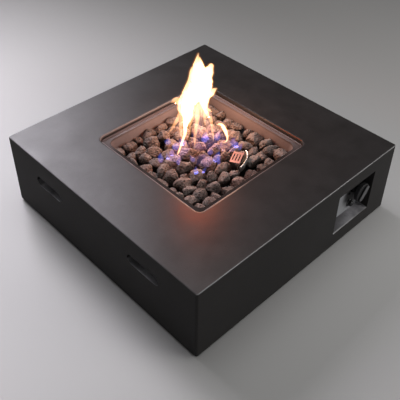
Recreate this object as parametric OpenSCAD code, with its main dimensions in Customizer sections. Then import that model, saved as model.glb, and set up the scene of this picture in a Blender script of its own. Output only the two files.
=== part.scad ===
// Gas fire pit table: a low cast concrete shell with a drop-in burner pan full of lava
// rock, and a gas valve and push-button igniter behind a recess in the front wall.
// Millimetres, +Z up. The origin is on the floor under the middle, and the recess is on -Y.

/* [Table shell] */
// Width and length at the foot of the walls
table_w = 711; // [680:1:760]
// Height of the top above the floor
table_h = 215; // [210:1:240]
// Lean of each wall from foot to top, so that the casting leaves its mould
wall_draft = 4.5; // [0:0.5:8]
// Thickness of the side walls
wall_t = 22; // [18:1:26]
// Thickness of the top slab
slab_t = 28; // [24:1:32]
// Radius of the upright corners
corner_r = 6; // [4:0.5:14]
// Radius of the outer edge of the top
top_edge_r = 2.5; // [1:0.25:3.5]

/* [Fire opening] */
// Width and length of the opening in the top
opening_w = 375; // [340:1:400]
// Radius of the corners of the opening
opening_r = 18; // [12:1:24]
// Radius of the edge round the opening
opening_edge_r = 5; // [2:0.5:7]
// Depth of the pan ledge below the top
ledge_drop = 13; // [10:0.5:15]
// Width of the pan ledge
ledge_w = 12.5; // [10:0.5:16]

/* [Control recess] */
// Width of the recess
recess_w = 148; // [140:1:170]
// Height of the recess
recess_h = 125; // [115:1:130]
// Depth of the recess, from the front wall to the panel
recess_d = 31; // [29:0.5:34]
// Distance from the side of the table to the recess
recess_side = 84.5; // [70:0.5:100]
// Height of concrete between the recess and the slab
recess_header = 12; // [8:1:16]

/* [Grip slots] */
// Length of a grip slot
slot_l = 106; // [90:1:120]
// Height of a grip slot
slot_h = 28; // [22:1:34]
// Distance from the middle of a slot to the front or back of the table
slot_in = 175.5; // [140:0.5:220]
// Depth of the middle of a slot below the top
slot_drop = 68; // [60:1:80]

/* [Hose way out] */
// Width of the arch for the supply hose, at the foot of the back wall
hose_arch_w = 44; // [36:1:60]
// Height of the arch
hose_arch_h = 34; // [26:1:44]

/* [Feet] */
// Height of the rubber feet
foot_h = 6; // [4:0.5:10]
// Radius of a foot
foot_r = 19; // [14:0.5:24]
// Distance from the table's sides to the middle of a foot
foot_inset = 42; // [38:1:50]
// Shank radius of a foot screw
foot_screw_r = 2.5; // [2:0.25:3]
// Length of a foot screw below its head
foot_screw_l = 24; // [16:1:32]

/* [Burner pan] */
// Depth of the pan from its ledge to its floor
pan_depth = 78; // [76:1:88]
// Thickness of the pan's sheet
pan_sheet = 1.2; // [0.8:0.1:1.6]
// Lean of each pan wall from rim to floor
pan_draft = 8; // [4:1:14]
// Radius of the pan's corners
pan_r = 24; // [18:1:30]
// Bend between the pan's walls and floor
pan_bend = 6; // [3:1:9]
// Width of the hem along the flange
hem_w = 5; // [3:0.5:6]
// Height of the hem
hem_h = 3; // [2:0.25:4]
// Gap all round between the pan and the casting
pan_gap = 1.5; // [1:0.25:3]

/* [Burner] */
// Radius of the burner ring at the middle of its tube
ring_r = 66; // [58:1:68]
// Outer radius of the burner tube
burner_tube_r = 8; // [7:0.25:9]
// Wall of the burner tube
burner_wall = 1.4; // [1:0.1:2]
// Height of the burner tube's middle above the pan floor
burner_lift = 13; // [11:0.5:14]
// Number of ports round the ring
port_count = 24; // [12:2:36]
// Radius of a port
port_r = 1.2; // [0.8:0.1:1.6]
// Radius of the threaded spigot under the burner
spigot_r = 10; // [8:0.5:11]
// Length of the spigot under the pan
spigot_l = 26; // [24:1:30]

/* [Mixer] */
// Outer radius of the air mixer
mixer_r = 13; // [12.5:0.5:15]
// Length of the mixer's barrel
mixer_l = 54; // [48:1:64]
// Radius of the mixer's bore
mixer_bore_r = 8; // [6.5:0.25:9]
// Length of an air window
window_l = 14; // [10:1:16]
// Width of an air window
window_w = 9; // [6:0.5:11]
// Wall of the air shutter
shutter_wall = 1.5; // [1:0.25:2]

/* [Flame guard] */
// Place of the guard across the table
guard_x = 36; // [32:1:40]
// Place of the guard along the table
guard_y = -106; // [-109:1:-104]
// Width of the guard
guard_w = 46; // [42:1:47]
// Depth of the bow in its back wall
guard_bow = 12; // [9:0.5:13]
// Depth of its hood, from the back wall's ends to the front
hood_d = 25; // [22:0.5:26]
// Thickness of the guard's sheet
guard_sheet = 1.2; // [0.8:0.1:1.6]
// Height of the guard above the pan floor
guard_h = 78; // [66:1:79]
// Radius of the electrode's ceramic insulator
insulator_r = 3.5; // [3:0.25:4]
// Radius of the electrode's rod
electrode_r = 1.2; // [0.8:0.1:1.5]
// Radius of the thermocouple's sheath
sheath_r = 2.5; // [2:0.25:3]

/* [Control panel] */
// Thickness of the panel
panel_t = 1.5; // [1:0.1:2]
// Width of the panel's border behind the casting
panel_border = 17; // [15:0.5:18]
// Shank radius of a panel screw
panel_screw_r = 2.4; // [2:0.1:2.75]

/* [Knob and valve] */
// Distance from the recess's far side to the knob's axis
knob_in = 34; // [32:0.5:38]
// Height of the knob's axis above the sill
knob_up = 70; // [66:1:76]
// Radius of the knob's rim
knob_r = 26; // [23:0.5:27]
// Length of the knob's skirt
skirt_l = 14; // [11:0.5:14]
// Length of the grip bar across the knob
bar_l = 46; // [38:1:48]
// Width of the grip bar
bar_w = 17; // [12:0.5:20]
// Height of the grip bar
bar_h = 5; // [4:0.25:5]
// Number of grooves round the knob's rim
groove_count = 24; // [12:1:36]
// How far the knob pushes in
push_travel = 4; // [3:0.25:4.5]
// Radius of the bezel behind the knob
bezel_r = 12.5; // [11:0.25:14]
// Thickness of the bezel
bezel_t = 9; // [7:0.25:9]
// Radius of the valve stem
stem_r = 4; // [3:0.25:4.5]
// Radius of the valve's barrel
barrel_r = 16; // [14:0.5:17]
// Length of the valve's barrel
barrel_l = 48; // [45:1:52]
// Radius of the plunger inside the valve
plunger_r = 7.5; // [7:0.25:8]
// Length of the plunger's spring at rest
plunger_spring_l = 22; // [20:0.5:24]
// Radius of the male thread that the supply hose screws onto
inlet_r = 7.94; // [7:0.01:9]
// Length of that thread
inlet_l = 16; // [12:0.5:20]

/* [Igniter] */
// Distance from the recess's near side to the igniter's axis
igniter_in = 105; // [100:0.5:107]
// Height of the igniter's axis above the sill
igniter_up = 24; // [22:0.5:28]
// Radius of the button
button_r = 8; // [7.5:0.25:8.5]
// How far the button stands out of its bezel
button_out = 8; // [7:0.5:10]
// How far the button travels
button_travel = 4; // [2:0.25:5]
// Wall of the igniter's barrel
igniter_wall = 2; // [1.5:0.25:2.25]
// Radius of the battery
battery_r = 5.25; // [4:0.25:6]
// Length of the battery
battery_l = 44.5; // [40:0.5:50]

/* [Leads] */
// Outer radius of the gas line
line_r = 5; // [4:0.25:6]
// Radius of the igniter's lead
lead_r = 1.5; // [1:0.1:2]
// Radius of the thermocouple's lead
sensor_lead_r = 1.25; // [1:0.05:1.5]

/* [Lava rock] */
// Usual width of a stone
stone_w = 37; // [32:1:44]
// Rows of stones behind the guard
rows_behind = 7; // [6:1:8]
// Height of the lower layer
lower_layer_h = 30; // [26:1:32]
// Height of the upper layer at the pan's walls
upper_layer_h = 32; // [24:1:34]
// Extra height of the heap in the middle
heap_h = 14; // [0:1:16]
// How far the rows of stones wander
row_wander = 6; // [0:0.5:7]
// How far the tops of the stones rise and fall
stone_rise = 5; // [0:0.5:7]

/* [Hidden] */
$fn = 64;
// Overshoot of a cut past the face that it opens
cut = 0.5;
// Thickness of the slices that a lofted form is drawn through
slice = 0.01;
// Steps of a quarter round, on an edge and on a corner
edge_steps = 3;
corner_steps = 8;
// Gaps: a running fit, a threaded or pushed fit, a hole that a piece just passes, and an end
run_gap = 0.08;
thread_gap = 0.05;
pass_gap = 0.6;
end_gap = 0.3;

// Levels and places that follow from the sizes above
ledge_z = table_h - ledge_drop;
cavity_z = table_h - slab_t;
cavity_r = 8;
pan_floor_z = ledge_z - pan_depth;
pan_under_z = pan_floor_z - pan_sheet;
pan_rim_w = opening_w - 2 * (ledge_w + pan_gap);
flange_w = opening_w - 2 * pan_gap;
recess_x1 = table_w / 2 - recess_side;
recess_x0 = recess_x1 - recess_w;
recess_z1 = cavity_z - recess_header;
recess_z0 = recess_z1 - recess_h;
panel_y = recess_d - table_w / 2 + wall_draft / 2;
knob_x = recess_x1 - knob_in;
knob_z = recess_z0 + knob_up;
igniter_x = recess_x0 + igniter_in;
igniter_z = recess_z0 + igniter_up;
foot_at = table_w / 2 - foot_inset;
slot_y = table_w / 2 - slot_in;
slot_z = table_h - slot_drop;

// Casting details inside the shell
foot_block_h = 45;
foot_block_margin = 5;
pad_border = 26;
pad_below = 22;
recess_corner_r = 3;

// Foot and screw details
foot_taper = 2;
foot_well_r = 6;
foot_well_d = 3.5;
foot_head_r = 4.5;
foot_head_t = 2.5;

// Burner and fittings
hub_r = 16;
burner_z = pan_floor_z + burner_lift;
burner_bore_r = burner_tube_r - burner_wall;
lock_nut_flat = 32;
lock_nut_t = 9;
elbow_wall = 4;
elbow_r = spigot_r + elbow_wall;
elbow_leg = 26;
elbow_seat = 2;
elbow_entry = spigot_l - lock_nut_t - elbow_seat + end_gap;
elbow_z = pan_under_z - lock_nut_t - elbow_seat - elbow_leg;
weep_r = 4;
weep_in = 40;
mixer_y = -elbow_leg;
mixer_end_y = mixer_y - mixer_l;
mixer_wall = 6;
mixer_collar = 1.5;
mixer_collar_l = 3;
window_end = 8;
shutter_l = window_l + 8;
shutter_end = 3;
jet_r = 6;
jet_bore_r = 1;
jet_flat = 22;
jet_hex_l = 12;
flare_r = 7;
flare_l = 12;
flare_bore_r = 3;
flare_nut_flat = 20;
flare_nut_l = 17;
flare_nut_back = 2;

// Flame guard, electrode and thermocouple
guard_turn = 28;
guard_bow_r = (guard_w * guard_w / 4 + guard_bow * guard_bow) / (2 * guard_bow);
guard_half_turn = asin(guard_w / 2 / guard_bow_r);
guard_rim = 1.6;
guard_slot_w = 3;
guard_slot_l = 28;
guard_slot_pitch = 7.5;
guard_slot_at = 5;
guard_foot_d = 14;
electrode_dx = -9;
sensor_dx = 9;
pilot_dy = 6;
guard_screw_dy = -2;
guard_screw_r = 2;
guard_head_r = 3.8;
guard_head_t = 2.2;
guard_nut_t = 3;
insulator_below = 14;
insulator_h = 42;
collar_r = 5;
collar_h = 4;
rod_below = 8;
rod_above = 14;
spark_tip_l = 7;
spark_tilt = 50;
sheath_below = 8;
sheath_h = 44;
sheath_tip_r = 1.6;
sheath_tip_l = 10;

// Control panel
panel_above = 9;
panel_r = 6;
panel_screw_in = 8;
panel_screw_l = 12;
panel_head_r = 4.5;
panel_head_t = 3;

// Valve, stem and knob, with depths counted inwards from the panel's front
ear_angle = -37;
ear_span = 40;
ear_r = 6;
ear_t = 4;
ear_screw_r = 2;
ear_head_r = 3.6;
ear_head_t = 2.2;
chamber_d = 12;
plunger_t = 4;
plunger_rod_r = 2.5;
plunger_rod_l = 7;
chamber_l = plunger_t + plunger_spring_l;
port_d = 31;
boss_r = 9;
boss_l = 34;
gas_bore_r = 3.5;
magnet_r = 11;
magnet_l = 26;
sensor_nut_flat = 12;
sensor_nut_l = 8;
bezel_pocket = 3;
bezel_lip = 3;
bezel_hole_r = 5;
push_room = 1;
knob_back_d = -bezel_t - push_travel - push_room;
skirt_front_d = knob_back_d - skirt_l;
knob_front_d = skirt_front_d - bar_h;
knob_neck = 7;
knob_edge = 1.5;
groove_r = 1.6;
stem_cover = 5;
stem_flat = 1.2;
bar_angle = -56;
pointer_w = 2;
pointer_l = 9;
pointer_t = 0.8;
inlet_thread_r = 6;
inlet_thread_l = 10;
inlet_boss_l = 22;
inlet_leg = 12;
inlet_hex_flat = 19;
inlet_hex_l = 8;
inlet_nose_l = 4;

// Igniter, with depths counted the same way
igniter_barrel_r = button_r + igniter_wall;
igniter_flange = 1.5;
igniter_flange_t = 3;
igniter_nut_flat = 28;
igniter_nut_t = 8;
button_skirt = 4;
button_wall = 3;
button_stop = 1;
button_edge = 2;
well_d = button_skirt + button_travel + button_stop;
battery_clear = 0.25;
battery_front_d = well_d + 4;
battery_nub_r = 2;
battery_nub_l = 1;
igniter_end_d = battery_front_d + battery_l;
igniter_back_t = 3;
terminal_r = 2.5;
terminal_l = 7;

// Springs: wire radius, coil radius, turns, and rings and sides of the wire
spring_wire_r = 0.6;
plunger_coil_r = 5;
plunger_turns = 6;
igniter_coil_r = 3.2;
igniter_turns = 7;
rings_per_turn = 8;
wire_sides = 6;

// Routes of the gas line and the two leads, from piece to piece, and the steps between points
line_start = [0, mixer_end_y - jet_hex_l - flare_l - end_gap, elbow_z];
line_end = [knob_x - boss_l - flare_l - end_gap, panel_y + port_d, knob_z];
line_route = [
    line_start, line_start - [0, 10, 0], line_start - [0, 24, 0], [10, -180, 87], [44, -240, 97],
    [100, -278, 112], line_end - [26, 0, 0], line_end - [12, 0, 0], line_end
];
electrode_at = guard_point(electrode_dx, pilot_dy);
sensor_at = guard_point(sensor_dx, pilot_dy);
igniter_start = [electrode_at[0], electrode_at[1], pan_under_z - insulator_below - rod_below - end_gap];
igniter_end = [igniter_x, panel_y + igniter_end_d + igniter_back_t + terminal_l + end_gap, igniter_z];
igniter_route = [
    igniter_start, igniter_start - [0, 0, 7], [40, -114, 80], [94, -160, 72],
    [160, -206, 74], igniter_end + [-6, 22, -4], igniter_end + [0, 9, 0], igniter_end
];
sensor_start = [sensor_at[0], sensor_at[1], pan_under_z - sheath_below - end_gap];
sensor_end = [knob_x, panel_y + panel_t + barrel_l + magnet_l + sensor_nut_l / 2 + end_gap, knob_z];
sensor_route = [
    sensor_start, sensor_start - [0, 0, 8], [56, -106, 94], [112, -150, 88],
    [184, -196, 98], sensor_end + [-10, 28, -6], sensor_end + [0, 14, 0], sensor_end + [0, 7, 0], sensor_end
];
route_steps = 4;
line_sides = 12;
lead_sides = 8;

// Lava rock
rock_seat = 0.3;
rock_wall_gap = 1;
ring_clear = 9;
heap_spread = 95;
row_wave_l = 210;
stone_slant = 5;
stone_mix = 0.32;
face_reach = 0.99;
row_reach = 0.95;
edge_reach = [0.64, 0.84];
corner_reach = [0.52, 0.72];
rock_seed = 41;

// Half the width between the outsides of opposite walls at a height
function wall_half(z) = table_w / 2 - wall_draft * (z - foot_h) / (table_h - foot_h);

// Half the width between the pan's inner faces at a height
function pan_half(z) = pan_rim_w / 2 - pan_sheet - pan_draft * (ledge_z - z) / pan_depth;

function unit(v) = v / norm(v);

// A point of the guard, from its own width and depth directions
function guard_point(dx, dy) = [
    guard_x + dx * cos(guard_turn) - dy * sin(guard_turn),
    guard_y + dx * sin(guard_turn) + dy * cos(guard_turn)
];

// Corner points of a rectangle with round corners
function rounded_points(w, h, r) = [
    for (q = [0:3])
        for (i = [0:corner_steps])
            let (a = 90 * (q + i / corner_steps), sx = q == 0 || q == 3 ? 1 : -1, sy = q < 2 ? 1 : -1)
                [sx * (w / 2 - r) + r * cos(a), sy * (h / 2 - r) + r * sin(a)]
];

module rounded_rect(w, h, r) {
    polygon(rounded_points(w, h, r));
}

module rounded_plate(w, r, z, t) {
    translate([0, 0, z]) linear_extrude(t) rounded_rect(w, w, r);
}

module hexagon(flat, h) {
    cylinder(r = flat / 2 / cos(30), h = h, $fn = 6);
}

// Places a piece on the panel with its own Z running into the table
module on_panel(x, z) {
    translate([x, panel_y, z]) rotate([-90, 0, 0]) children();
}

module at_knob() {
    on_panel(knob_x, knob_z) children();
}

module at_igniter() {
    on_panel(igniter_x, igniter_z) children();
}

module depth(d) {
    translate([0, 0, d]) children();
}

// Smooth curve through a list of points
function curve_point(p, i, t) =
    let (
        a = p[max(i - 1, 0)],
        b = p[i],
        c = p[i + 1],
        d = p[min(i + 2, len(p) - 1)]
    )
    0.5 * (2 * b + (c - a) * t + (2 * a - 5 * b + 4 * c - d) * t * t + (3 * b - a - 3 * c + d) * t * t * t);
function curve(p) = [
    for (i = [0:len(p) - 2]) for (s = [0:route_steps - 1]) curve_point(p, i, s / route_steps),
    p[len(p) - 1]
];

// Round tube along a path; side is a direction that the path never runs along
module sweep(path, r, sides, side) {
    last = len(path) - 1;
    rings = [
        for (i = [0:last])
            let (
                along = unit(path[min(i + 1, last)] - path[max(i - 1, 0)]),
                u = unit(cross(along, side)),
                v = cross(along, u)
            )
            for (s = [0:sides - 1])
                path[i] + r * (cos(360 * s / sides) * u + sin(360 * s / sides) * v)
    ];
    skin = [
        for (i = [0:last - 1]) for (s = [0:sides - 1])
            let (a = i * sides + s, b = i * sides + (s + 1) % sides)
                each [[a, a + sides, b], [b, a + sides, b + sides]]
    ];
    caps = [
        for (s = [1:sides - 2]) each [[0, s, s + 1], [last * sides, last * sides + s + 1, last * sides + s]]
    ];
    polyhedron(rings, concat(skin, caps));
}

// Compression spring along Z from 0 to its length
module coil_spring(coil_r, length, turns) {
    steps = turns * rings_per_turn;
    rise = length - 2 * spring_wire_r - 2 * thread_gap;
    path = [
        for (i = [0:steps])
            let (a = 360 * i / rings_per_turn)
                [coil_r * cos(a), coil_r * sin(a), spring_wire_r + thread_gap + rise * i / steps]
    ];
    sweep(path, spring_wire_r, wire_sides, [0, 0, 1]);
}

// Table shell

module shell_outside() {
    hull() {
        rounded_plate(2 * wall_half(foot_h), corner_r, foot_h, slice);
        for (i = [0:edge_steps]) {
            inset = top_edge_r * (1 - cos(90 * i / edge_steps));
            drop = top_edge_r * (1 - sin(90 * i / edge_steps));
            rounded_plate(2 * (wall_half(table_h) - inset), corner_r - inset, table_h - drop - slice, slice);
        }
    }
}

module shell_cavity() {
    hull() {
        rounded_plate(2 * (wall_half(foot_h) - wall_t), cavity_r, foot_h - cut, slice);
        rounded_plate(2 * (wall_half(table_h) - wall_t), cavity_r, cavity_z - slice, slice);
    }
}

module opening_edge(i) {
    hull() {
        for (a = [90 * i / edge_steps, 90 * (i + 1) / edge_steps]) {
            grow = opening_edge_r * (1 - cos(a));
            rounded_plate(opening_w + 2 * grow, opening_r + grow, table_h - opening_edge_r * (1 - sin(a)), slice);
        }
    }
}

module opening_cut() {
    rounded_plate(opening_w, opening_r, ledge_z, slab_t);
    rounded_plate(opening_w - 2 * ledge_w, pan_r + pan_gap, ledge_z - slab_t, slab_t + cut);
    for (i = [0:edge_steps - 1]) opening_edge(i);
}

// Thick frame behind the recess that the panel bears on
module panel_pad() {
    back = wall_half(foot_h) - wall_t / 2;
    translate([recess_x0 - pad_border, -back, recess_z0 - pad_below])
        cube([recess_w + 2 * pad_border, panel_y + back, cavity_z - recess_z0 + pad_below + cut]);
}

module foot_block(sx, sy) {
    inner = foot_at - foot_r - foot_block_margin;
    outer = wall_half(table_h) - wall_t / 2;
    scale_to = outer - inner;
    translate([sx > 0 ? inner : -outer, sy > 0 ? inner : -outer, foot_h])
        cube([scale_to, scale_to, foot_block_h]);
}

module recess_cut() {
    middle = [(recess_x0 + recess_x1) / 2, -table_w / 2 - cut, (recess_z0 + recess_z1) / 2];
    translate(middle) rotate([-90, 0, 0])
        linear_extrude(panel_y + table_w / 2 + 2 * cut) rounded_rect(recess_w, recess_h, recess_corner_r);
}

module slot_cut(sx, sy) {
    translate([sx * table_w / 2, sy * slot_y, slot_z]) rotate([0, 90, 0])
        linear_extrude(3 * wall_t, center = true) rounded_rect(slot_h, slot_l, slot_h / 2);
}

module hose_arch_cut() {
    translate([knob_x, table_w / 2, foot_h]) rotate([90, 0, 0]) linear_extrude(3 * wall_t, center = true) {
        translate([-hose_arch_w / 2, -cut]) square([hose_arch_w, hose_arch_h - hose_arch_w / 2 + cut]);
        translate([0, hose_arch_h - hose_arch_w / 2]) circle(r = hose_arch_w / 2);
    }
}

module at_feet() {
    for (sx = [-1, 1]) for (sy = [-1, 1]) translate([sx * foot_at, sy * foot_at, 0]) children();
}

module at_panel_screws() {
    dx = recess_w / 2 + panel_screw_in;
    for (x = [-dx, dx]) for (z = [recess_z0 - panel_screw_in, recess_z1 + panel_above - panel_screw_in / 2])
        on_panel((recess_x0 + recess_x1) / 2 + x, z) children();
}

module table_shell() {
    color([0.24, 0.23, 0.23]) difference() {
        union() {
            difference() {
                shell_outside();
                shell_cavity();
            }
            panel_pad();
            for (sx = [-1, 1]) for (sy = [-1, 1]) foot_block(sx, sy);
        }
        opening_cut();
        recess_cut();
        for (sx = [-1, 1]) for (sy = [-1, 1]) slot_cut(sx, sy);
        hose_arch_cut();
        at_feet() translate([0, 0, foot_h - cut]) cylinder(r = foot_screw_r + thread_gap, h = foot_screw_l + cut);
        at_panel_screws() depth(-panel_screw_l) cylinder(r = panel_screw_r + thread_gap, h = panel_screw_l + cut);
    }
}

// Feet

module foot(sx, sy) {
    color([0.12, 0.12, 0.12]) translate([sx * foot_at, sy * foot_at, 0]) difference() {
        cylinder(r1 = foot_r - foot_taper, r2 = foot_r, h = foot_h);
        translate([0, 0, -cut]) cylinder(r = foot_screw_r + pass_gap, h = foot_h + 2 * cut);
        translate([0, 0, -cut]) cylinder(r = foot_well_r, h = foot_well_d + cut);
    }
}

module foot_screws() {
    color([0.62, 0.62, 0.64]) at_feet() {
        translate([0, 0, foot_well_d - foot_head_t]) cylinder(r = foot_head_r, h = foot_head_t);
        translate([0, 0, foot_well_d - cut]) cylinder(r = foot_screw_r, h = foot_screw_l - foot_well_d);
    }
}

// Burner pan

module pan_form(shrink, floor_z, top_z) {
    low = floor_z + pan_bend;
    hull() {
        rounded_plate(2 * (pan_half(floor_z) + pan_sheet - shrink - pan_bend), pan_r - pan_bend, floor_z, slice);
        rounded_plate(2 * (pan_half(low) + pan_sheet - shrink), pan_r - shrink, low, slice);
        rounded_plate(2 * (pan_half(top_z) + pan_sheet - shrink), pan_r - shrink, top_z - slice, slice);
    }
}

module burner_pan() {
    color([0.62, 0.55, 0.51]) difference() {
        union() {
            pan_form(0, pan_under_z, ledge_z + pan_sheet);
            rounded_plate(flange_w, opening_r - pan_gap, ledge_z, pan_sheet);
            difference() {
                rounded_plate(flange_w, opening_r - pan_gap, ledge_z, hem_h);
                rounded_plate(flange_w - 2 * hem_w, opening_r - pan_gap, ledge_z - cut, hem_h + 2 * cut);
            }
        }
        pan_form(pan_sheet, pan_floor_z, ledge_z + hem_h + cut);
        translate([0, 0, pan_under_z - cut]) {
            cylinder(r = spigot_r + pass_gap, h = pan_sheet + 2 * cut);
            for (sx = [-1, 1]) for (sy = [-1, 1])
                translate([sx, sy, 0] * (pan_half(pan_floor_z) - weep_in)) cylinder(r = weep_r, h = pan_sheet + 2 * cut);
            at_electrode() cylinder(r = insulator_r + pass_gap, h = pan_sheet + 2 * cut);
            at_sensor() cylinder(r = sheath_r + pass_gap, h = pan_sheet + 2 * cut);
            at_guard_screw() cylinder(r = guard_screw_r + thread_gap, h = pan_sheet + 2 * cut);
        }
    }
}

// Burner, fittings and mixer

module burner_form(r) {
    rotate_extrude() translate([ring_r, 0]) circle(r = r);
    rotate([0, 90, 0]) cylinder(r = r, h = 2 * ring_r, center = true);
}

module burner_ring() {
    color([0.66, 0.64, 0.62]) translate([0, 0, burner_z]) difference() {
        union() {
            burner_form(burner_tube_r);
            translate([0, 0, -burner_lift]) cylinder(r = hub_r, h = burner_lift + burner_tube_r);
            translate([0, 0, -burner_lift - pan_sheet - spigot_l]) cylinder(r = spigot_r, h = spigot_l + pan_sheet + cut);
        }
        burner_form(burner_bore_r);
        translate([0, 0, -burner_lift - pan_sheet - spigot_l - cut])
            cylinder(r = burner_bore_r, h = burner_lift + pan_sheet + spigot_l + cut);
        for (i = [0:port_count - 1])
            rotate([0, 0, 360 * (i + 0.5) / port_count]) translate([ring_r, 0, 0]) cylinder(r = port_r, h = 2 * burner_tube_r);
    }
}

module burner_lock_nut() {
    color([0.72, 0.60, 0.30]) translate([0, 0, pan_under_z - lock_nut_t]) difference() {
        hexagon(lock_nut_flat, lock_nut_t);
        translate([0, 0, -cut]) cylinder(r = spigot_r + thread_gap, h = lock_nut_t + 2 * cut);
    }
}

module burner_elbow() {
    color([0.72, 0.60, 0.30]) translate([0, 0, elbow_z]) difference() {
        union() {
            sphere(r = elbow_r);
            cylinder(r = elbow_r, h = elbow_leg);
            rotate([90, 0, 0]) cylinder(r = elbow_r, h = elbow_leg);
        }
        sphere(r = burner_bore_r);
        for (turn = [0, 90]) rotate([turn, 0, 0]) {
            cylinder(r = burner_bore_r, h = elbow_leg);
            translate([0, 0, elbow_leg - elbow_entry]) cylinder(r = spigot_r + thread_gap, h = elbow_entry + cut);
        }
    }
}

// Places a piece on the mixer's axis with its own Z running towards the jet
module at_mixer(y) {
    translate([0, y, elbow_z]) rotate([90, 0, 0]) children();
}

module air_windows(r) {
    for (turn = [0, 90]) rotate([0, 0, turn])
        translate([-window_w / 2, -r, mixer_l - window_end - window_l]) cube([window_w, 2 * r, window_l]);
}

module air_mixer() {
    color([0.66, 0.64, 0.62]) at_mixer(mixer_y) difference() {
        union() {
            cylinder(r = mixer_r, h = mixer_l);
            translate([0, 0, -elbow_entry]) cylinder(r = spigot_r, h = elbow_entry + cut);
            translate([0, 0, mixer_l - shutter_l - shutter_end - mixer_collar_l])
                cylinder(r = mixer_r + mixer_collar, h = mixer_collar_l);
        }
        translate([0, 0, -elbow_entry - cut]) cylinder(r = burner_bore_r, h = elbow_entry + 2 * cut);
        cylinder(r = mixer_bore_r, h = mixer_l - mixer_wall);
        translate([0, 0, mixer_l - mixer_wall - cut]) cylinder(r = jet_r + thread_gap, h = mixer_wall + 2 * cut);
        air_windows(mixer_r + cut);
    }
}

module air_shutter() {
    inner = mixer_r + run_gap;
    outer = inner + shutter_wall;
    color([0.55, 0.55, 0.57]) at_mixer(mixer_y) difference() {
        translate([0, 0, mixer_l - shutter_l - shutter_end + run_gap]) cylinder(r = outer, h = shutter_l);
        cylinder(r = inner, h = mixer_l + cut);
        air_windows(outer + cut);
    }
}

module gas_orifice() {
    color([0.78, 0.62, 0.28]) at_mixer(mixer_end_y) difference() {
        union() {
            translate([0, 0, -mixer_wall - cut]) cylinder(r = jet_r, h = mixer_wall + 2 * cut);
            hexagon(jet_flat, jet_hex_l);
            cylinder(r = flare_r, h = jet_hex_l + flare_l);
        }
        translate([0, 0, -mixer_wall - 2 * cut]) cylinder(r = jet_bore_r, h = mixer_wall + jet_hex_l);
        translate([0, 0, jet_hex_l / 2]) cylinder(r = flare_bore_r, h = jet_hex_l + flare_l);
    }
}

module flare_nut() {
    difference() {
        hexagon(flare_nut_flat, flare_nut_l);
        translate([0, 0, -cut]) cylinder(r = flare_r + thread_gap, h = flare_l - flare_nut_back + cut);
        cylinder(r = line_r + pass_gap, h = flare_nut_l + cut);
    }
}

module flare_nuts() {
    color([0.78, 0.62, 0.28]) {
        at_mixer(mixer_end_y - jet_hex_l - flare_nut_back) flare_nut();
        translate([knob_x - boss_l - flare_nut_back, panel_y + port_d, knob_z]) rotate([0, -90, 0]) flare_nut();
    }
}

module gas_line() {
    color([0.70, 0.70, 0.70]) sweep(curve(line_route), line_r, line_sides, [0, 0, 1]);
}

// Flame guard, electrode and thermocouple

module at_guard() {
    translate([guard_x, guard_y, 0]) rotate([0, 0, guard_turn]) children();
}

module at_electrode() {
    at_guard() translate([electrode_dx, pilot_dy, 0]) children();
}

module at_sensor() {
    at_guard() translate([sensor_dx, pilot_dy, 0]) children();
}

module at_guard_screw() {
    at_guard() translate([0, guard_screw_dy, 0]) children();
}

// Flat of the guard from its bowed back to a front edge, a little inside the back wall's face
module guard_flat(front, z) {
    r = guard_bow_r - guard_sheet / 2;
    intersection() {
        translate([0, guard_bow_r - guard_bow, z]) cylinder(r = r, h = guard_sheet);
        translate([-guard_w / 2, -guard_bow, z]) cube([guard_w, guard_bow, guard_sheet]);
    }
    translate([-guard_w / 2 + guard_sheet, -guard_sheet, z]) cube([guard_w - 2 * guard_sheet, front + guard_sheet, guard_sheet]);
}

module guard_back() {
    translate([0, guard_bow_r - guard_bow, 0]) rotate([0, 0, -90 - guard_half_turn])
        rotate_extrude(angle = 2 * guard_half_turn)
            translate([guard_bow_r - guard_sheet, 0]) square([guard_sheet, guard_h]);
}

module flame_guard() {
    color([0.75, 0.72, 0.70]) difference() {
        translate([0, 0, pan_floor_z]) at_guard() difference() {
            union() {
                guard_back();
                guard_flat(guard_foot_d, 0);
                guard_flat(hood_d, guard_h - guard_rim - guard_sheet);
            }
            for (i = [-1:2])
                translate([-guard_slot_l / 2, guard_slot_at + i * guard_slot_pitch - guard_slot_w / 2, guard_h / 2])
                    cube([guard_slot_l, guard_slot_w, guard_h]);
        }
        translate([0, 0, pan_floor_z - cut]) {
            at_electrode() cylinder(r = insulator_r + pass_gap, h = guard_sheet + 2 * cut);
            at_sensor() cylinder(r = sheath_r + pass_gap, h = guard_sheet + 2 * cut);
            at_guard_screw() cylinder(r = guard_screw_r + thread_gap, h = guard_sheet + 2 * cut);
        }
    }
}

module guard_screw() {
    under = pan_under_z - guard_nut_t;
    color([0.62, 0.62, 0.64]) at_guard_screw() {
        translate([0, 0, pan_floor_z + guard_sheet]) cylinder(r = guard_head_r, h = guard_head_t);
        translate([0, 0, under]) cylinder(r = guard_screw_r, h = pan_floor_z + guard_sheet - under + cut);
        translate([0, 0, under]) hexagon(2 * guard_head_r, guard_nut_t);
    }
}

module electrode_insulator() {
    color([0.92, 0.90, 0.85]) at_electrode() difference() {
        union() {
            translate([0, 0, pan_under_z - insulator_below]) cylinder(r = insulator_r, h = insulator_below + insulator_h);
            translate([0, 0, pan_floor_z + guard_sheet]) cylinder(r = collar_r, h = collar_h);
        }
        translate([0, 0, pan_under_z - insulator_below - cut])
            cylinder(r = electrode_r + thread_gap, h = insulator_below + insulator_h + 2 * cut);
    }
}

module electrode_rod() {
    low = pan_under_z - insulator_below - rod_below;
    high = pan_under_z + insulator_h + rod_above;
    color([0.50, 0.48, 0.46]) at_electrode() {
        translate([0, 0, low]) cylinder(r = electrode_r, h = high - low);
        translate([0, 0, high]) sphere(r = electrode_r);
        translate([0, 0, high]) rotate([-spark_tilt, 0, 0]) cylinder(r = electrode_r, h = spark_tip_l);
    }
}

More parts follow.
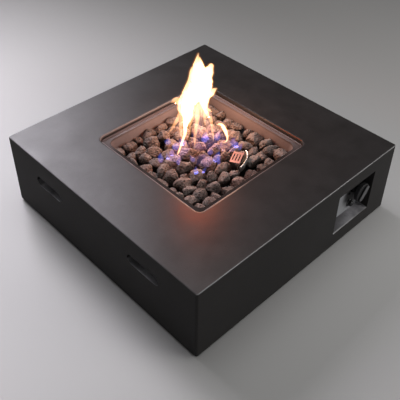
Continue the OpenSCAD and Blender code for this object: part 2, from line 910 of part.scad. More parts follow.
module thermocouple() {
    top = pan_under_z + sheath_h;
    color([0.72, 0.66, 0.55]) at_sensor() {
        translate([0, 0, pan_under_z - sheath_below]) cylinder(r = sheath_r, h = sheath_below + sheath_h);
        translate([0, 0, pan_floor_z + guard_sheet]) cylinder(r = collar_r, h = collar_h);
        translate([0, 0, top - cut]) cylinder(r = sheath_tip_r, h = sheath_tip_l + cut);
        translate([0, 0, top + sheath_tip_l]) sphere(r = sheath_tip_r);
    }
}

module igniter_lead() {
    color([0.80, 0.18, 0.12]) sweep(curve(igniter_route), lead_r, lead_sides, [1, 1, 0]);
}

module thermocouple_lead() {
    color([0.72, 0.45, 0.25]) sweep(curve(sensor_route), sensor_lead_r, lead_sides, [1, 1, 0]);
}

module thermocouple_nut() {
    color([0.78, 0.62, 0.28]) at_knob() depth(panel_t + barrel_l + magnet_l) difference() {
        hexagon(sensor_nut_flat, sensor_nut_l);
        depth(sensor_nut_l / 2) cylinder(r = sensor_lead_r + pass_gap / 2, h = sensor_nut_l);
    }
}

// Control panel

module control_panel() {
    w = recess_w + 2 * panel_border;
    low = recess_z0 - panel_border;
    high = recess_z1 + panel_above;
    color([0.70, 0.72, 0.73]) difference() {
        on_panel((recess_x0 + recess_x1) / 2, (low + high) / 2) linear_extrude(panel_t) rounded_rect(w, high - low, panel_r);
        at_knob() depth(-cut) cylinder(r = stem_r + pass_gap, h = panel_t + 2 * cut);
        at_valve_screws() depth(-cut) cylinder(r = ear_screw_r + thread_gap, h = panel_t + 2 * cut);
        at_igniter() depth(-cut) cylinder(r = igniter_barrel_r + thread_gap, h = panel_t + 2 * cut);
        at_panel_screws() depth(-cut) cylinder(r = panel_screw_r + thread_gap, h = panel_t + 2 * cut);
    }
}

module panel_screws() {
    color([0.62, 0.62, 0.64]) at_panel_screws() {
        depth(panel_t) cylinder(r = panel_head_r, h = panel_head_t);
        depth(-panel_screw_l + cut) cylinder(r = panel_screw_r, h = panel_screw_l + panel_t);
    }
}

// Valve, stem and knob

module at_valve_screws() {
    for (s = [-1, 1]) at_knob() rotate([0, 0, ear_angle]) translate([s * ear_span / 2, 0, 0]) children();
}

module valve_form() {
    cylinder(r = barrel_r, h = barrel_l);
    depth(barrel_l - cut) cylinder(r = magnet_r, h = magnet_l + cut);
    rotate([0, 0, ear_angle]) {
        translate([-ear_span / 2, -ear_r, 0]) cube([ear_span, 2 * ear_r, ear_t]);
        for (s = [-1, 1]) translate([s * ear_span / 2, 0, 0]) cylinder(r = ear_r, h = ear_t);
    }
}

module valve_body() {
    color([0.74, 0.66, 0.45]) difference() {
        at_knob() {
            depth(panel_t) valve_form();
            depth(port_d) rotate([0, -90, 0]) {
                cylinder(r = boss_r, h = boss_l);
                cylinder(r = flare_r, h = boss_l + flare_l);
            }
            depth(port_d) rotate([0, 90, 0]) cylinder(r = boss_r, h = inlet_boss_l);
        }
        at_knob() {
            cylinder(r = stem_r + run_gap, h = chamber_d + cut);
            depth(chamber_d) cylinder(r = plunger_r + run_gap, h = chamber_l);
            depth(port_d) rotate([0, -90, 0]) cylinder(r = gas_bore_r, h = boss_l + flare_l + cut);
            depth(port_d) rotate([0, 90, 0]) {
                cylinder(r = gas_bore_r, h = inlet_boss_l);
                translate([0, 0, inlet_boss_l - inlet_thread_l])
                    cylinder(r = inlet_thread_r + thread_gap, h = inlet_thread_l + cut);
            }
        }
        at_valve_screws() cylinder(r = ear_screw_r + thread_gap, h = panel_t + ear_t + cut);
    }
}

module valve_screws() {
    color([0.62, 0.62, 0.64]) at_valve_screws() {
        depth(-ear_head_t) cylinder(r = ear_head_r, h = ear_head_t);
        depth(-cut) cylinder(r = ear_screw_r, h = panel_t + ear_t + cut);
    }
}

module valve_plunger() {
    color([0.78, 0.62, 0.28]) at_knob() depth(chamber_d) {
        cylinder(r = plunger_r, h = plunger_t);
        cylinder(r = plunger_rod_r, h = plunger_t + plunger_rod_l);
    }
}

module plunger_spring() {
    color([0.75, 0.75, 0.77]) at_knob() depth(chamber_d + plunger_t)
        coil_spring(plunger_coil_r, plunger_spring_l, plunger_turns);
}

// Stem from the knob to the plunger, with a flat along its outer end; grow widens the knob's hole
module stem_form(grow) {
    difference() {
        depth(knob_front_d + stem_cover) cylinder(r = stem_r + grow, h = chamber_d - knob_front_d - stem_cover);
        translate([-2 * stem_r, stem_r - stem_flat + grow, knob_front_d + stem_cover - cut])
            cube([4 * stem_r, 2 * stem_r, knob_back_d - knob_front_d - stem_cover + cut]);
    }
}

module valve_stem() {
    color([0.62, 0.62, 0.64]) at_knob() stem_form(0);
}

module knob_bezel() {
    color([0.10, 0.10, 0.10]) at_knob() difference() {
        union() {
            depth(-bezel_t) cylinder(r1 = bezel_r - knob_edge, r2 = bezel_r, h = knob_edge);
            depth(-bezel_t + knob_edge) cylinder(r = bezel_r, h = bezel_t - knob_edge);
        }
        depth(-bezel_pocket) cylinder(r = bezel_r - bezel_lip, h = bezel_pocket + cut);
        depth(-bezel_t - cut) cylinder(r = bezel_hole_r, h = bezel_t + 2 * cut);
    }
}

module control_knob() {
    rim_d = knob_back_d - skirt_l / 3;
    neck_r = knob_r - knob_neck;
    color([0.07, 0.07, 0.07]) at_knob() difference() {
        union() {
            rotate_extrude() polygon([
                [0, knob_back_d], [neck_r, knob_back_d], [knob_r, rim_d], [knob_r, skirt_front_d + knob_edge],
                [knob_r - knob_edge, skirt_front_d], [0, skirt_front_d]
            ]);
            depth(knob_front_d) rotate([0, 0, bar_angle]) linear_extrude(bar_h + knob_edge) rounded_rect(bar_l, bar_w, bar_w / 2);
        }
        for (i = [0:groove_count - 1]) rotate([0, 0, 360 * i / groove_count])
            translate([knob_r + groove_r / 2, 0, skirt_front_d - cut]) cylinder(r = groove_r, h = skirt_l + 2 * cut);
        rotate([0, 0, bar_angle]) translate([-bar_l / 2 - cut, -pointer_w / 2, knob_front_d - cut])
            cube([pointer_l, pointer_w, pointer_t + cut]);
        stem_form(thread_gap);
    }
}

// Elbow that turns the valve's inlet down, so that the hose's nut screws on from below
module gas_inlet() {
    inlet_x = knob_x + inlet_boss_l + inlet_leg;
    color([0.78, 0.62, 0.28]) translate([inlet_x, panel_y + port_d, knob_z]) difference() {
        union() {
            sphere(r = boss_r);
            rotate([0, -90, 0]) {
                cylinder(r = boss_r, h = inlet_leg);
                cylinder(r = inlet_thread_r, h = inlet_leg + inlet_thread_l);
            }
            rotate([180, 0, 0]) {
                cylinder(r = boss_r, h = boss_r + inlet_hex_l / 2);
                translate([0, 0, boss_r]) hexagon(inlet_hex_flat, inlet_hex_l);
                translate([0, 0, boss_r + inlet_hex_l - cut]) cylinder(r = inlet_r, h = inlet_l + cut);
                translate([0, 0, boss_r + inlet_hex_l + inlet_l])
                    cylinder(r1 = inlet_r - knob_edge / 2, r2 = inlet_r - inlet_nose_l + knob_edge, h = inlet_nose_l);
            }
        }
        sphere(r = gas_bore_r);
        rotate([0, -90, 0]) cylinder(r = gas_bore_r, h = inlet_leg + inlet_thread_l + cut);
        rotate([180, 0, 0]) cylinder(r = gas_bore_r, h = boss_r + inlet_hex_l + inlet_l + inlet_nose_l + cut);
    }
}

// Igniter

module igniter_housing() {
    flange_r = igniter_barrel_r + igniter_flange;
    color([0.80, 0.80, 0.82]) at_igniter() difference() {
        union() {
            depth(-igniter_flange_t) cylinder(r1 = flange_r - 1, r2 = flange_r, h = 1);
            depth(1 - igniter_flange_t) cylinder(r = flange_r, h = igniter_flange_t - 1);
            cylinder(r = igniter_barrel_r, h = igniter_end_d + igniter_back_t);
            depth(igniter_end_d) cylinder(r = terminal_r, h = igniter_back_t + terminal_l);
        }
        depth(-igniter_flange_t - cut) cylinder(r = button_r + run_gap, h = igniter_flange_t + well_d + cut);
        depth(well_d - cut) cylinder(r = battery_r + battery_clear, h = igniter_end_d - well_d + cut);
    }
}

module igniter_nut() {
    color([0.80, 0.80, 0.82]) at_igniter() depth(panel_t) difference() {
        hexagon(igniter_nut_flat, igniter_nut_t);
        depth(-cut) cylinder(r = igniter_barrel_r + thread_gap, h = igniter_nut_t + 2 * cut);
    }
}

module igniter_button() {
    front = -igniter_flange_t - button_out;
    color([0.08, 0.08, 0.08]) at_igniter() difference() {
        union() {
            depth(front) cylinder(r1 = button_r - button_edge, r2 = button_r, h = button_edge);
            depth(front + button_edge) cylinder(r = button_r, h = button_skirt - front - button_edge);
        }
        depth(front + button_wall) cylinder(r = button_r - button_wall, h = button_skirt - front - button_wall + cut);
    }
}

module igniter_spring() {
    start = -igniter_flange_t - button_out + button_wall;
    color([0.75, 0.75, 0.77]) at_igniter() depth(start)
        coil_spring(igniter_coil_r, battery_front_d - start, igniter_turns);
}

module battery() {
    color([0.35, 0.36, 0.40]) at_igniter() depth(battery_front_d) {
        depth(battery_nub_l) cylinder(r = battery_r, h = battery_l - battery_nub_l);
        cylinder(r = battery_nub_r, h = battery_nub_l + cut);
    }
}

// Lava rock: rows of stones, each in its own cell, in two layers

// Room kept round the turned guard, in its rows: the left and right sides of the front row
guard_half_w = guard_w / 2 + 1.5;
guard_half_d = (hood_d + guard_bow) / 2 + 1.5;
guard_mid = guard_point(0, (hood_d - guard_bow) / 2);
guard_deep = guard_half_w * sin(guard_turn) + guard_half_d * cos(guard_turn);
guard_front = guard_half_d * sin(guard_turn) - guard_half_w * cos(guard_turn);
guard_side = guard_half_d * sin(guard_turn) + guard_half_w * cos(guard_turn);
guard_left = [guard_front, guard_front - guard_deep * tan(guard_turn)];
guard_right = [guard_side - guard_half_d, guard_side + 4];

function rock_half(k) =
    k == 0 ? pan_half(pan_floor_z) - pan_bend - rock_wall_gap
    : pan_half(pan_floor_z + lower_layer_h + (k - 1) * upper_layer_h) - rock_wall_gap;

// Row lines from front to back, with two rows beside the guard
function row_line(j) =
    let (half = rock_half(2), back = guard_mid[1] + guard_deep)
        j == 0 ? -half : j < 4 ? guard_mid[1] + (j - 2) * guard_deep : back + (j - 3) * (half - back) / rows_behind;

// Depth of a row line at a place across the pan: the lines beside walls and guard stay straight there
function row_y(j, x) =
    let (calm = j == 0 || j == rows_behind + 3 ? 0 : j > 3 ? 1 : min(1, max(0, abs(x - guard_mid[0]) - 40) / 50))
        row_line(j) + calm * row_wander * sin(360 * x / row_wave_l + 137 * j);

// Sides of the stones of a row between two ends, each side with a front and a back place
function stone_sides(a, b, seed) =
    let (
        n = max(1, round((b[0] + b[1] - a[0] - a[1]) / 2 / stone_w)),
        w = rands(1 - stone_mix, 1 + stone_mix, n, seed),
        slant = rands(-stone_slant, stone_slant, n + 1, seed + 5),
        sum = [for (i = 0, t = 0; i <= n; t = t + (i < n ? w[i] : 0), i = i + 1) t]
    )
    [
        for (i = [0:n])
            let (t = sum[i] / sum[n], lean = i == 0 || i == n ? 0 : slant[i])
                [a[0] + t * (b[0] - a[0]) + lean, a[1] + t * (b[1] - a[1]) - lean]
    ];

// Leans a place towards the middle at lower levels, as the pan's walls do
function settle(p, k) =
    let (half = rock_half(2))
        p - sign(p) * (half - rock_half(k)) * pow(min(abs(p) / half, 1), 4);

function rock_level(k, x, y) =
    k == 0 ? pan_floor_z + rock_seat
    : k == 2 ? pan_floor_z + lower_layer_h + upper_layer_h + heap_h * exp(-(x * x + y * y) / (heap_spread * heap_spread))
    : norm([x, y]) < ring_r + burner_tube_r + ring_clear ? burner_z + burner_tube_r + rock_seat
    : pan_floor_z + lower_layer_h;

// One corner of a stone's cell; a corner by the pan's own corner is drawn in
function rock_corner(j, x, k, rise) =
    let (
        half = rock_half(2),
        y = row_y(j, x),
        by_corner = abs(x) > half - 1 && abs(y) > half - 1 ? 0.3 * pan_r : 0
    )
    [
        settle(x, k) - sign(x) * by_corner,
        settle(y, k) - sign(y) * by_corner,
        rock_level(k, x, y) + (k == 2 ? rise : 0)
    ];

// Point of a cell from its eight corners, with a, b and c from -1 to 1
function in_cell(p, a, b, c) =
    let (
        low = (p[0] * (1 - a) + p[1] * (1 + a)) * (1 - b) + (p[2] * (1 - a) + p[3] * (1 + a)) * (1 + b),
        high = (p[4] * (1 - a) + p[5] * (1 + a)) * (1 - b) + (p[6] * (1 - a) + p[7] * (1 + a)) * (1 + b)
    )
    (low * (1 - c) + high * (1 + c)) / 8;

function stone_index(v) = let (i = (v[0] + 1) * 9 + (v[1] + 1) * 3 + v[2] + 1) i > 13 ? i - 1 : i;

function on_face(axis, side, p, q) =
    axis == 0 ? [side, p, q] : axis == 1 ? [q, side, p] : [p, q, side];

module stone(p, seed) {
    edges = rands(edge_reach[0], edge_reach[1], 27, seed);
    corners = rands(corner_reach[0], corner_reach[1], 27, seed + 1);
    points = [
        for (a = [-1:1]) for (b = [-1:1]) for (c = [-1:1])
            let (
                spread = abs(a) + abs(b) + abs(c),
                n = (a + 1) * 9 + (b + 1) * 3 + c + 1,
                reach = spread == 1 ? face_reach : spread == 2 ? edges[n] : corners[n]
            )
            if (spread > 0) in_cell(p, a * reach, b * reach * row_reach, c * reach)
    ];
    faces = [
        for (axis = [0:2]) for (side = [-1, 1]) for (u = [-1, 0]) for (v = [-1, 0])
            let (
                quad = [for (t = [[u, v], [u, v + 1], [u + 1, v + 1], [u + 1, v]])
                    stone_index(on_face(axis, side, t[0], t[1]))],
                q = side > 0 ? quad : [quad[3], quad[2], quad[1], quad[0]]
            )
            each [[q[0], q[1], q[2]], [q[0], q[2], q[3]]]
    ];
    polyhedron(points, faces);
}

// Shortest distance from the table's middle to a box round some points
function box_reach(p) =
    let (x = [for (q = p) q[0]], y = [for (q = p) q[1]])
        norm([max(min(x), -max(x), 0), max(min(y), -max(y), 0)]);

module stone_row(j, sides, seed) {
    for (i = [0:len(sides) - 2]) for (k = [0, 1]) {
        rise = rands(-stone_rise, stone_rise, 5, seed + 17 * i);
        p = [
            for (c = [0, 1]) for (b = [0, 1]) for (a = [0, 1])
                rock_corner(j + b, sides[i + a][b], k + c, 0.6 * rise[4] + 0.4 * rise[2 * b + a])
        ];
        if (k == 1 || box_reach(p) > ring_r + burner_tube_r + 1)
            stone(p, seed + 53 * i + 7 * k);
    }
}

module lava_rocks() {
    half = rock_half(2);
    x = guard_mid[0];
    color([0.40, 0.31, 0.27]) for (j = [0:rows_behind + 2]) {
        seed = rock_seed + 211 * j;
        if (j == 1) {
            stone_row(j, stone_sides([-half, -half], [x, x] + guard_left, seed), seed);
            stone_row(j, stone_sides([x, x] + guard_right, [half, half], seed + 3), seed + 3);
        } else if (j == 2) {
            stone_row(j, stone_sides([-half, -half], [x - guard_right[1], x - guard_right[0]], seed), seed);
            stone_row(j, stone_sides([x - guard_left[1], x - guard_left[0]], [half, half], seed + 3), seed + 3);
        } else {
            stone_row(j, stone_sides([-half, -half], [half, half], seed), seed);
        }
    }
}

table_shell();
foot(-1, -1);  // front_left_foot
foot(1, -1);  // front_right_foot
foot(-1, 1);  // back_left_foot
foot(1, 1);  // back_right_foot
foot_screws();
burner_pan();
lava_rocks();
burner_ring();
burner_lock_nut();
burner_elbow();
air_mixer();
air_shutter();
gas_orifice();
gas_line();
flare_nuts();
flame_guard();
guard_screw();
electrode_insulator();
electrode_rod();
igniter_lead();
thermocouple();
thermocouple_lead();
thermocouple_nut();
control_panel();
panel_screws();
valve_body();
valve_screws();
valve_plunger();
plunger_spring();
valve_stem();
knob_bezel();
control_knob();
gas_inlet();
igniter_housing();
igniter_nut();
igniter_button();
igniter_spring();
battery();
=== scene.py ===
# %% [markdown]
# # A gas fire pit table
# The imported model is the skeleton: it is loaded first and never moved. Every step below either
# gives one of its pieces a finish, or builds a finer piece in the place of a plain one.

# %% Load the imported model
import math
import random

import bmesh
import bpy
import numpy as np
from mathutils import Matrix, Vector, noise


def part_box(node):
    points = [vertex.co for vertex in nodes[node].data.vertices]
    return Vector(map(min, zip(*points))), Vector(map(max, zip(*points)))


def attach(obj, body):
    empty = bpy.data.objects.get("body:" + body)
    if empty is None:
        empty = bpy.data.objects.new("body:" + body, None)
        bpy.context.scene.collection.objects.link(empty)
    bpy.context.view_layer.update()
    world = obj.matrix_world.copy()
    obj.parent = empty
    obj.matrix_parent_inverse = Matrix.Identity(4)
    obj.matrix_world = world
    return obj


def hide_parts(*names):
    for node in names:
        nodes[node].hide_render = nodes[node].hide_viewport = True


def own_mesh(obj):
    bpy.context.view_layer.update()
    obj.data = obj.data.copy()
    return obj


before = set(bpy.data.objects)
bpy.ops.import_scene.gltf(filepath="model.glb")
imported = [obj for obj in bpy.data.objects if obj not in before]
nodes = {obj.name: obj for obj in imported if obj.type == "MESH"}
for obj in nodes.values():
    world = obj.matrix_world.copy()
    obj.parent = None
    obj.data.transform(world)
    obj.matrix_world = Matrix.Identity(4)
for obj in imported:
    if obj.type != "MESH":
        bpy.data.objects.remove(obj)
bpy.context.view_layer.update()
print("pieces in the frame:", len(nodes))

# %% [markdown]
# ## Camera
# The place and lens of a camera can be found from the edges of a square table, because the four
# top corners, the foot and the height leave only one answer. Writing the answer down as an eye
# point and two directions is plainer than angles, and the roll of a hand-held shot comes with it.


# %% Camera
def add_object(name, data):
    made = bpy.data.objects.new(name, data)
    bpy.context.scene.collection.objects.link(made)
    return made


eye = Vector((-0.8711, -0.8882, 1.1728))
forward = Vector((0.51008, 0.52199, -0.68363)).normalized()
right = Vector((0.72187, -0.69196, 0.01025)).normalized()
up = right.cross(forward)
camera_data = bpy.data.cameras.new("portrait_camera")
camera_data.lens = 55.09
camera_data.sensor_width = 36.0
camera_data.dof.use_dof = False
camera = add_object("portrait_camera", camera_data)
turned = Matrix((right, up, -forward)).transposed().to_4x4()
camera.matrix_world = Matrix.Translation(eye) @ turned
bpy.context.scene.camera = camera
print("camera looks down by", round(math.degrees(math.asin(-forward.z)), 1), "degrees")

# %% [markdown]
# ## Helpers for shader nodes
# A finish is a small net of nodes. The first helpers add a node and wire its inputs, work out a
# number, or move and measure a place, so that each net is short to read.


# %% Node helpers
def feed(tree, value, socket):
    if isinstance(value, bpy.types.NodeSocket):
        tree.links.new(value, socket)
    else:
        socket.default_value = value


def put(tree, kind, inputs=None, **settings):
    made = tree.nodes.new("ShaderNode" + kind)
    for key, value in settings.items():
        setattr(made, key, value)
    for key, value in (inputs or {}).items():
        feed(tree, value, made.inputs[key])
    return made


def work_out(tree, how, *values):
    return put(tree, "Math", dict(enumerate(values)), operation=how).outputs[0]


def move_place(tree, how, *values):
    return put(tree, "VectorMath", dict(enumerate(values)), operation=how).outputs["Vector"]


def measure(tree, how, *values):
    return put(tree, "VectorMath", dict(enumerate(values)), operation=how).outputs["Value"]


def place_on(tree):
    return put(tree, "TexCoord").outputs["Object"]


def axes(tree, vector):
    return put(tree, "SeparateXYZ", {"Vector": vector}).outputs


def facing_of(tree):
    return axes(tree, put(tree, "NewGeometry").outputs["Normal"])


print("node helpers made")

# %% [markdown]
# The next helpers mix colours, spread a value over a new range, and make clouds and relief. A
# single number stands for a grey.

# %% Colour and relief helpers
mix_factor, mix_first, mix_second, mix_colour = 0, 6, 7, 2


def opaque(colour):
    return (colour, colour, colour, 1.0) if isinstance(colour, float) else (*colour, 1.0)


def ramp(tree, factor, stops):
    made = put(tree, "ValToRGB", {"Fac": factor})
    band = made.color_ramp
    while len(band.elements) < len(stops):
        band.elements.new(0.5)
    for element, (place, colour) in zip(band.elements, stops):
        element.position = place
        element.color = opaque(colour)
    return made.outputs["Color"]


def blend_colours(tree, factor, first, second, how="MIX"):
    first, second = (colour if isinstance(colour, bpy.types.NodeSocket) else opaque(colour)
                     for colour in (first, second))
    made = put(tree, "Mix", {mix_factor: factor, mix_first: first, mix_second: second},
               data_type="RGBA", blend_type=how)
    return made.outputs[mix_colour]


def spread(tree, value, low, high, to_low, to_high, how="LINEAR"):
    limits = {"From Min": low, "From Max": high, "To Min": to_low, "To Max": to_high}
    made = put(tree, "MapRange", {"Value": value, **limits}, interpolation_type=how)
    return made.outputs["Result"]


def clouds(tree, place, scale, detail, roughness=0.5):
    return put(tree, "TexNoise", {"Vector": place, "Scale": scale, "Detail": detail,
                                  "Roughness": roughness}).outputs


def relief(tree, height, strength, distance, under=None):
    made = put(tree, "Bump", {"Height": height, "Strength": strength, "Distance": distance})
    if under is not None:
        feed(tree, under, made.inputs["Normal"])
    return made.outputs["Normal"]


print("colour and relief helpers made")

# %% [markdown]
# The last helpers start a node group, which is a net with a name that many finishes can share, use
# one, and start and fill a finish.


# %% Group and finish helpers
def start_group(name, inputs, outputs):
    tree = bpy.data.node_groups.new(name, "ShaderNodeTree")
    for label, kind, value in inputs:
        socket = tree.interface.new_socket(label, in_out="INPUT", socket_type="NodeSocket" + kind)
        socket.default_value = value
    for label, kind in outputs:
        tree.interface.new_socket(label, in_out="OUTPUT", socket_type="NodeSocket" + kind)
    given = tree.nodes.new("NodeGroupInput").outputs
    gives = tree.nodes.new("NodeGroupOutput").inputs
    return tree, given, gives


def use_group(tree, group, **inputs):
    return put(tree, "Group", inputs, node_tree=group).outputs


def open_finish(finish):
    return finish.node_tree, finish.node_tree.nodes["Principled BSDF"]


def start_finish(name):
    made = bpy.data.materials.new(name)
    made.use_nodes = True
    return (made, *open_finish(made))


def fill_finish(tree, shader, colour, rough, surface):
    for socket, value in (("Base Color", colour), ("Roughness", rough), ("Normal", surface)):
        feed(tree, value, shader.inputs[socket])


def paint_over(tree, socket, mask, colour):
    under = socket.links[0].from_socket
    feed(tree, blend_colours(tree, mask, under, colour), socket)


print("group and finish helpers made")

# %% [markdown]
# ## Shared effects
# Concrete, stone, plastic, rubber and metal differ mostly in how the same few effects are mixed.
# Each effect is a group with its own inputs, so a finish only chooses the values. The first is a
# fine grain, with slow patches of the same kind for what drifts from place to place.

# %% Fine grain
fine_grain, given, gives = start_group(
    "Fine grain", [("Scale", "Float", 400.0)], [("Height", "Float"), ("Patches", "Float")])
patch_share = 0.03
place = place_on(fine_grain)
specks = clouds(fine_grain, place, given["Scale"], 5.0, 0.6)
coarse = work_out(fine_grain, "MULTIPLY", given["Scale"], patch_share)
patches = clouds(fine_grain, place, coarse, 7.0, 0.62)
feed(fine_grain, specks["Fac"], gives["Height"])
feed(fine_grain, patches["Fac"], gives["Patches"])
print("fine grain nodes:", len(fine_grain.nodes))

# %% [markdown]
# ### Small holes
# Trapped air leaves pinholes in concrete and bubbles in lava. Cells scattered at random give round
# spots, and a noise that bends the place first makes them uneven, which a plain pattern isn't.

# %% Small holes
small_holes, given, gives = start_group(
    "Small holes", [("Scale", "Float", 200.0), ("Reach", "Float", 0.35)],
    [("Height", "Float"), ("Hole", "Float")])
bend = (0.012, 0.012, 0.012)
place = place_on(small_holes)
wander = clouds(small_holes, place, 60.0, 2.0)["Color"]
bent = move_place(small_holes, "MULTIPLY", wander, bend)
bent = move_place(small_holes, "ADD", place, bent)
cells = put(small_holes, "TexVoronoi",
            {"Vector": bent, "Scale": given["Scale"], "Randomness": 1.0}).outputs
hole = spread(small_holes, cells["Distance"], 0.0, given["Reach"], 1.0, 0.0, "SMOOTHSTEP")
feed(small_holes, work_out(small_holes, "SUBTRACT", 1.0, hole), gives["Height"])
feed(small_holes, hole, gives["Hole"])
print("small holes nodes:", len(small_holes.nodes))

# %% [markdown]
# ### Brushed lines
# Sheet and wire carry fine lines along the way they were drawn. Stretching the place before a noise
# turns its specks into such lines, and the stretch says which way they run.

# %% Brushed lines
brushed_lines, given, gives = start_group(
    "Brushed lines", [("Stretch", "Vector", (40.0, 900.0, 900.0))], [("Lines", "Float")])
drawn = move_place(brushed_lines, "MULTIPLY", place_on(brushed_lines), given["Stretch"])
feed(brushed_lines, clouds(brushed_lines, drawn, 1.0, 4.0, 0.55)["Fac"], gives["Lines"])
print("brushed lines nodes:", len(brushed_lines.nodes))

# %% [markdown]
# ### Heat tint
# Steel near a flame turns straw, then plum. The distance from the middle of the table, made ragged
# by a cloud, tells how hot a place gets, which is simpler than painting a mask for every piece.

# %% Heat tint
heat_tint, given, gives = start_group(
    "Heat tint",
    [("Cool", "Color", (0.5, 0.48, 0.46, 1)), ("Straw", "Color", (0.5, 0.36, 0.2, 1)),
     ("Plum", "Color", (0.3, 0.15, 0.14, 1)), ("Reach", "Float", 0.2)],
    [("Color", "Color")])
hottest_within, ragged, on_plan = 0.06, 0.12, (1.0, 1.0, 0.0)
place = place_on(heat_tint)
away = measure(heat_tint, "LENGTH", move_place(heat_tint, "MULTIPLY", place, on_plan))
shift = work_out(heat_tint, "MULTIPLY", clouds(heat_tint, place, 14.0, 5.0)["Fac"], ragged)
away = work_out(heat_tint, "ADD", away, shift)
heat = spread(heat_tint, away, given["Reach"], hottest_within, 0.0, 1.0)
to_straw = spread(heat_tint, heat, 0.0, 0.5, 0.0, 1.0)
to_plum = spread(heat_tint, heat, 0.4, 1.0, 0.0, 1.0)
warm = blend_colours(heat_tint, to_straw, given["Cool"], given["Straw"])
feed(heat_tint, blend_colours(heat_tint, to_plum, warm, given["Plum"]), gives["Color"])
print("heat tint nodes:", len(heat_tint.nodes))

# %% [markdown]
# ### Settled dust
# Dust lies on what faces up, in drifts. The upward part of a face's direction times a cloud gives
# that for every piece, without marking any face by hand.

# %% Settled dust
settled_dust, given, gives = start_group(
    "Settled dust", [("Amount", "Float", 0.3)], [("Dust", "Float")])
rise = spread(settled_dust, facing_of(settled_dust)["Z"], 0.2, 1.0, 0.0, 1.0)
drift = clouds(settled_dust, place_on(settled_dust), 22.0, 8.0, 0.7)["Fac"]
drift = spread(settled_dust, drift, 0.35, 0.75, 0.0, 1.0)
dust = work_out(settled_dust, "MULTIPLY", rise, drift)
feed(settled_dust, work_out(settled_dust, "MULTIPLY", dust, given["Amount"]), gives["Dust"])
print("settled dust nodes:", len(settled_dust.nodes))

# %% [markdown]
# ### One face
# Some pieces have a face painted in a colour of its own: the grip of the knob as a painted
# highlight, and the guard's low and outer faces as painted shade. A mask that ends at a distance
# along one direction picks out that face, so the piece needs no second finish.

# %% One face
one_face, given, gives = start_group(
    "One face",
    [("Along", "Vector", (0.0, 0.0, 1.0)), ("Low", "Float", 0.0), ("High", "Float", 0.001)],
    [("Mask", "Float")])
along = measure(one_face, "DOT_PRODUCT", place_on(one_face), given["Along"])
feed(one_face, spread(one_face, along, given["Low"], given["High"], 1.0, 0.0), gives["Mask"])
print("shared effects:", [g.name for g in bpy.data.node_groups])

# %% [markdown]
# ## Concrete
# The body is cast in a smooth mould and sealed, so it is dark and even from far away. Close up it
# has clouds of paler and darker cement, fine sand and a faint bloom of dust on the top. A slow
# noise gives the clouds, and the shared grain and dust do the rest.

# %% Cement and sand
concrete, tree, shader = start_finish("sealed_dark_concrete")
place = place_on(tree)
spot, facing = axes(tree, place), facing_of(tree)
grain = use_group(tree, fine_grain, Scale=520.0)
holes = use_group(tree, small_holes, Scale=95.0, Reach=0.16)
dust = use_group(tree, settled_dust, Amount=0.16)
cement = [(0.28, (0.0150, 0.0136, 0.0130)), (0.5, (0.0180, 0.0162, 0.0155)),
          (0.72, (0.0220, 0.0200, 0.0192))]
body = ramp(tree, clouds(tree, place, 5.0, 9.0, 0.66)["Fac"], cement)
sand = ramp(tree, grain["Height"], [(0.3, 0.72), (0.7, 1.2)])
body = blend_colours(tree, 0.75, body, sand, "MULTIPLY")
body = blend_colours(tree, dust["Dust"], body, (0.085, 0.08, 0.082))
print("cement nodes:", len(tree.nodes))

# %% [markdown]
# ### Dust and painted light on the sills
# Rain doesn't reach the sills of the recess and the slots, so dust stays there, and the sills are
# also painted pale as lit faces. The inner left of the recess is kept darker as a painted shadow of
# its left wall, and the outer edge is painted palest as a highlight. Faces that look up below the top
# are the sills, and limits in metres say how far the pale paint comes in.

# %% Dust and painted light on the sills
below_top, past_recess, outer_edge = (0.190, 0.196), (0.10, 0.11), (-0.3520, -0.3505)
painted_shadow_slope, painted_shadow_edge = (1.0, -1.6, 0.0), (0.680, 0.775)
# the sills are painted pale, as dust and as painted light on lit faces
level = spread(tree, facing["Z"], 0.3, 0.8, 0.0, 0.85)
sill_dust_and_light = work_out(tree, "MULTIPLY", level, spread(tree, spot["Z"], *below_top, 1.0, 0.0))
patchy = spread(tree, grain["Patches"], 0.36, 0.56, 0.45, 1.0)
sill_dust_and_light = work_out(tree, "MULTIPLY", sill_dust_and_light, patchy)
# painted shadow: the sill is kept darker towards the inner left, as the left wall's shadow
outside_painted_shadow = measure(tree, "DOT_PRODUCT", place, painted_shadow_slope)
outside_painted_shadow = spread(tree, outside_painted_shadow, *painted_shadow_edge, 0.08, 1.0)
in_slots = spread(tree, spot["X"], *past_recess, 1.0, 0.0)
# painted highlight: the outer edge of the sill is painted palest
sill_edge_highlight = spread(tree, spot["Y"], *outer_edge, 1.0, 0.0)
for also in (in_slots, sill_edge_highlight):
    outside_painted_shadow = work_out(tree, "MAXIMUM", outside_painted_shadow, also)
sill_dust_and_light = work_out(tree, "MULTIPLY", sill_dust_and_light, outside_painted_shadow)
sill_dust_and_light_colour = blend_colours(tree, sill_edge_highlight, (0.52, 0.51, 0.54), (0.66, 0.65, 0.66))
body = blend_colours(tree, sill_dust_and_light, body, sill_dust_and_light_colour)
print("concrete nodes with the sills:", len(tree.nodes))

# %% [markdown]
# ### Edge highlight, pinhole shade and sheen
# The front top edge is painted pale as a highlight, and air has left pinholes, painted dark as the
# shade inside them. The sealer gives the top a low sheen, duller on the weather side at the left,
# and the walls are left as cast. So the roughness follows the patches, a slow slope across the
# table and the way a face looks.

# %% Edge highlight, pinhole shade and sheen
# painted highlight: the front top edge is painted pale
looks_up = spread(tree, facing["Z"], 0.15, 0.4, 0.0, 1.0)
looks_front = spread(tree, facing["Y"], -0.4, -0.15, 1.0, 0.0)
front_edge_highlight = work_out(tree, "MULTIPLY", looks_up, looks_front)
body = blend_colours(tree, front_edge_highlight, body, (0.19, 0.187, 0.19))
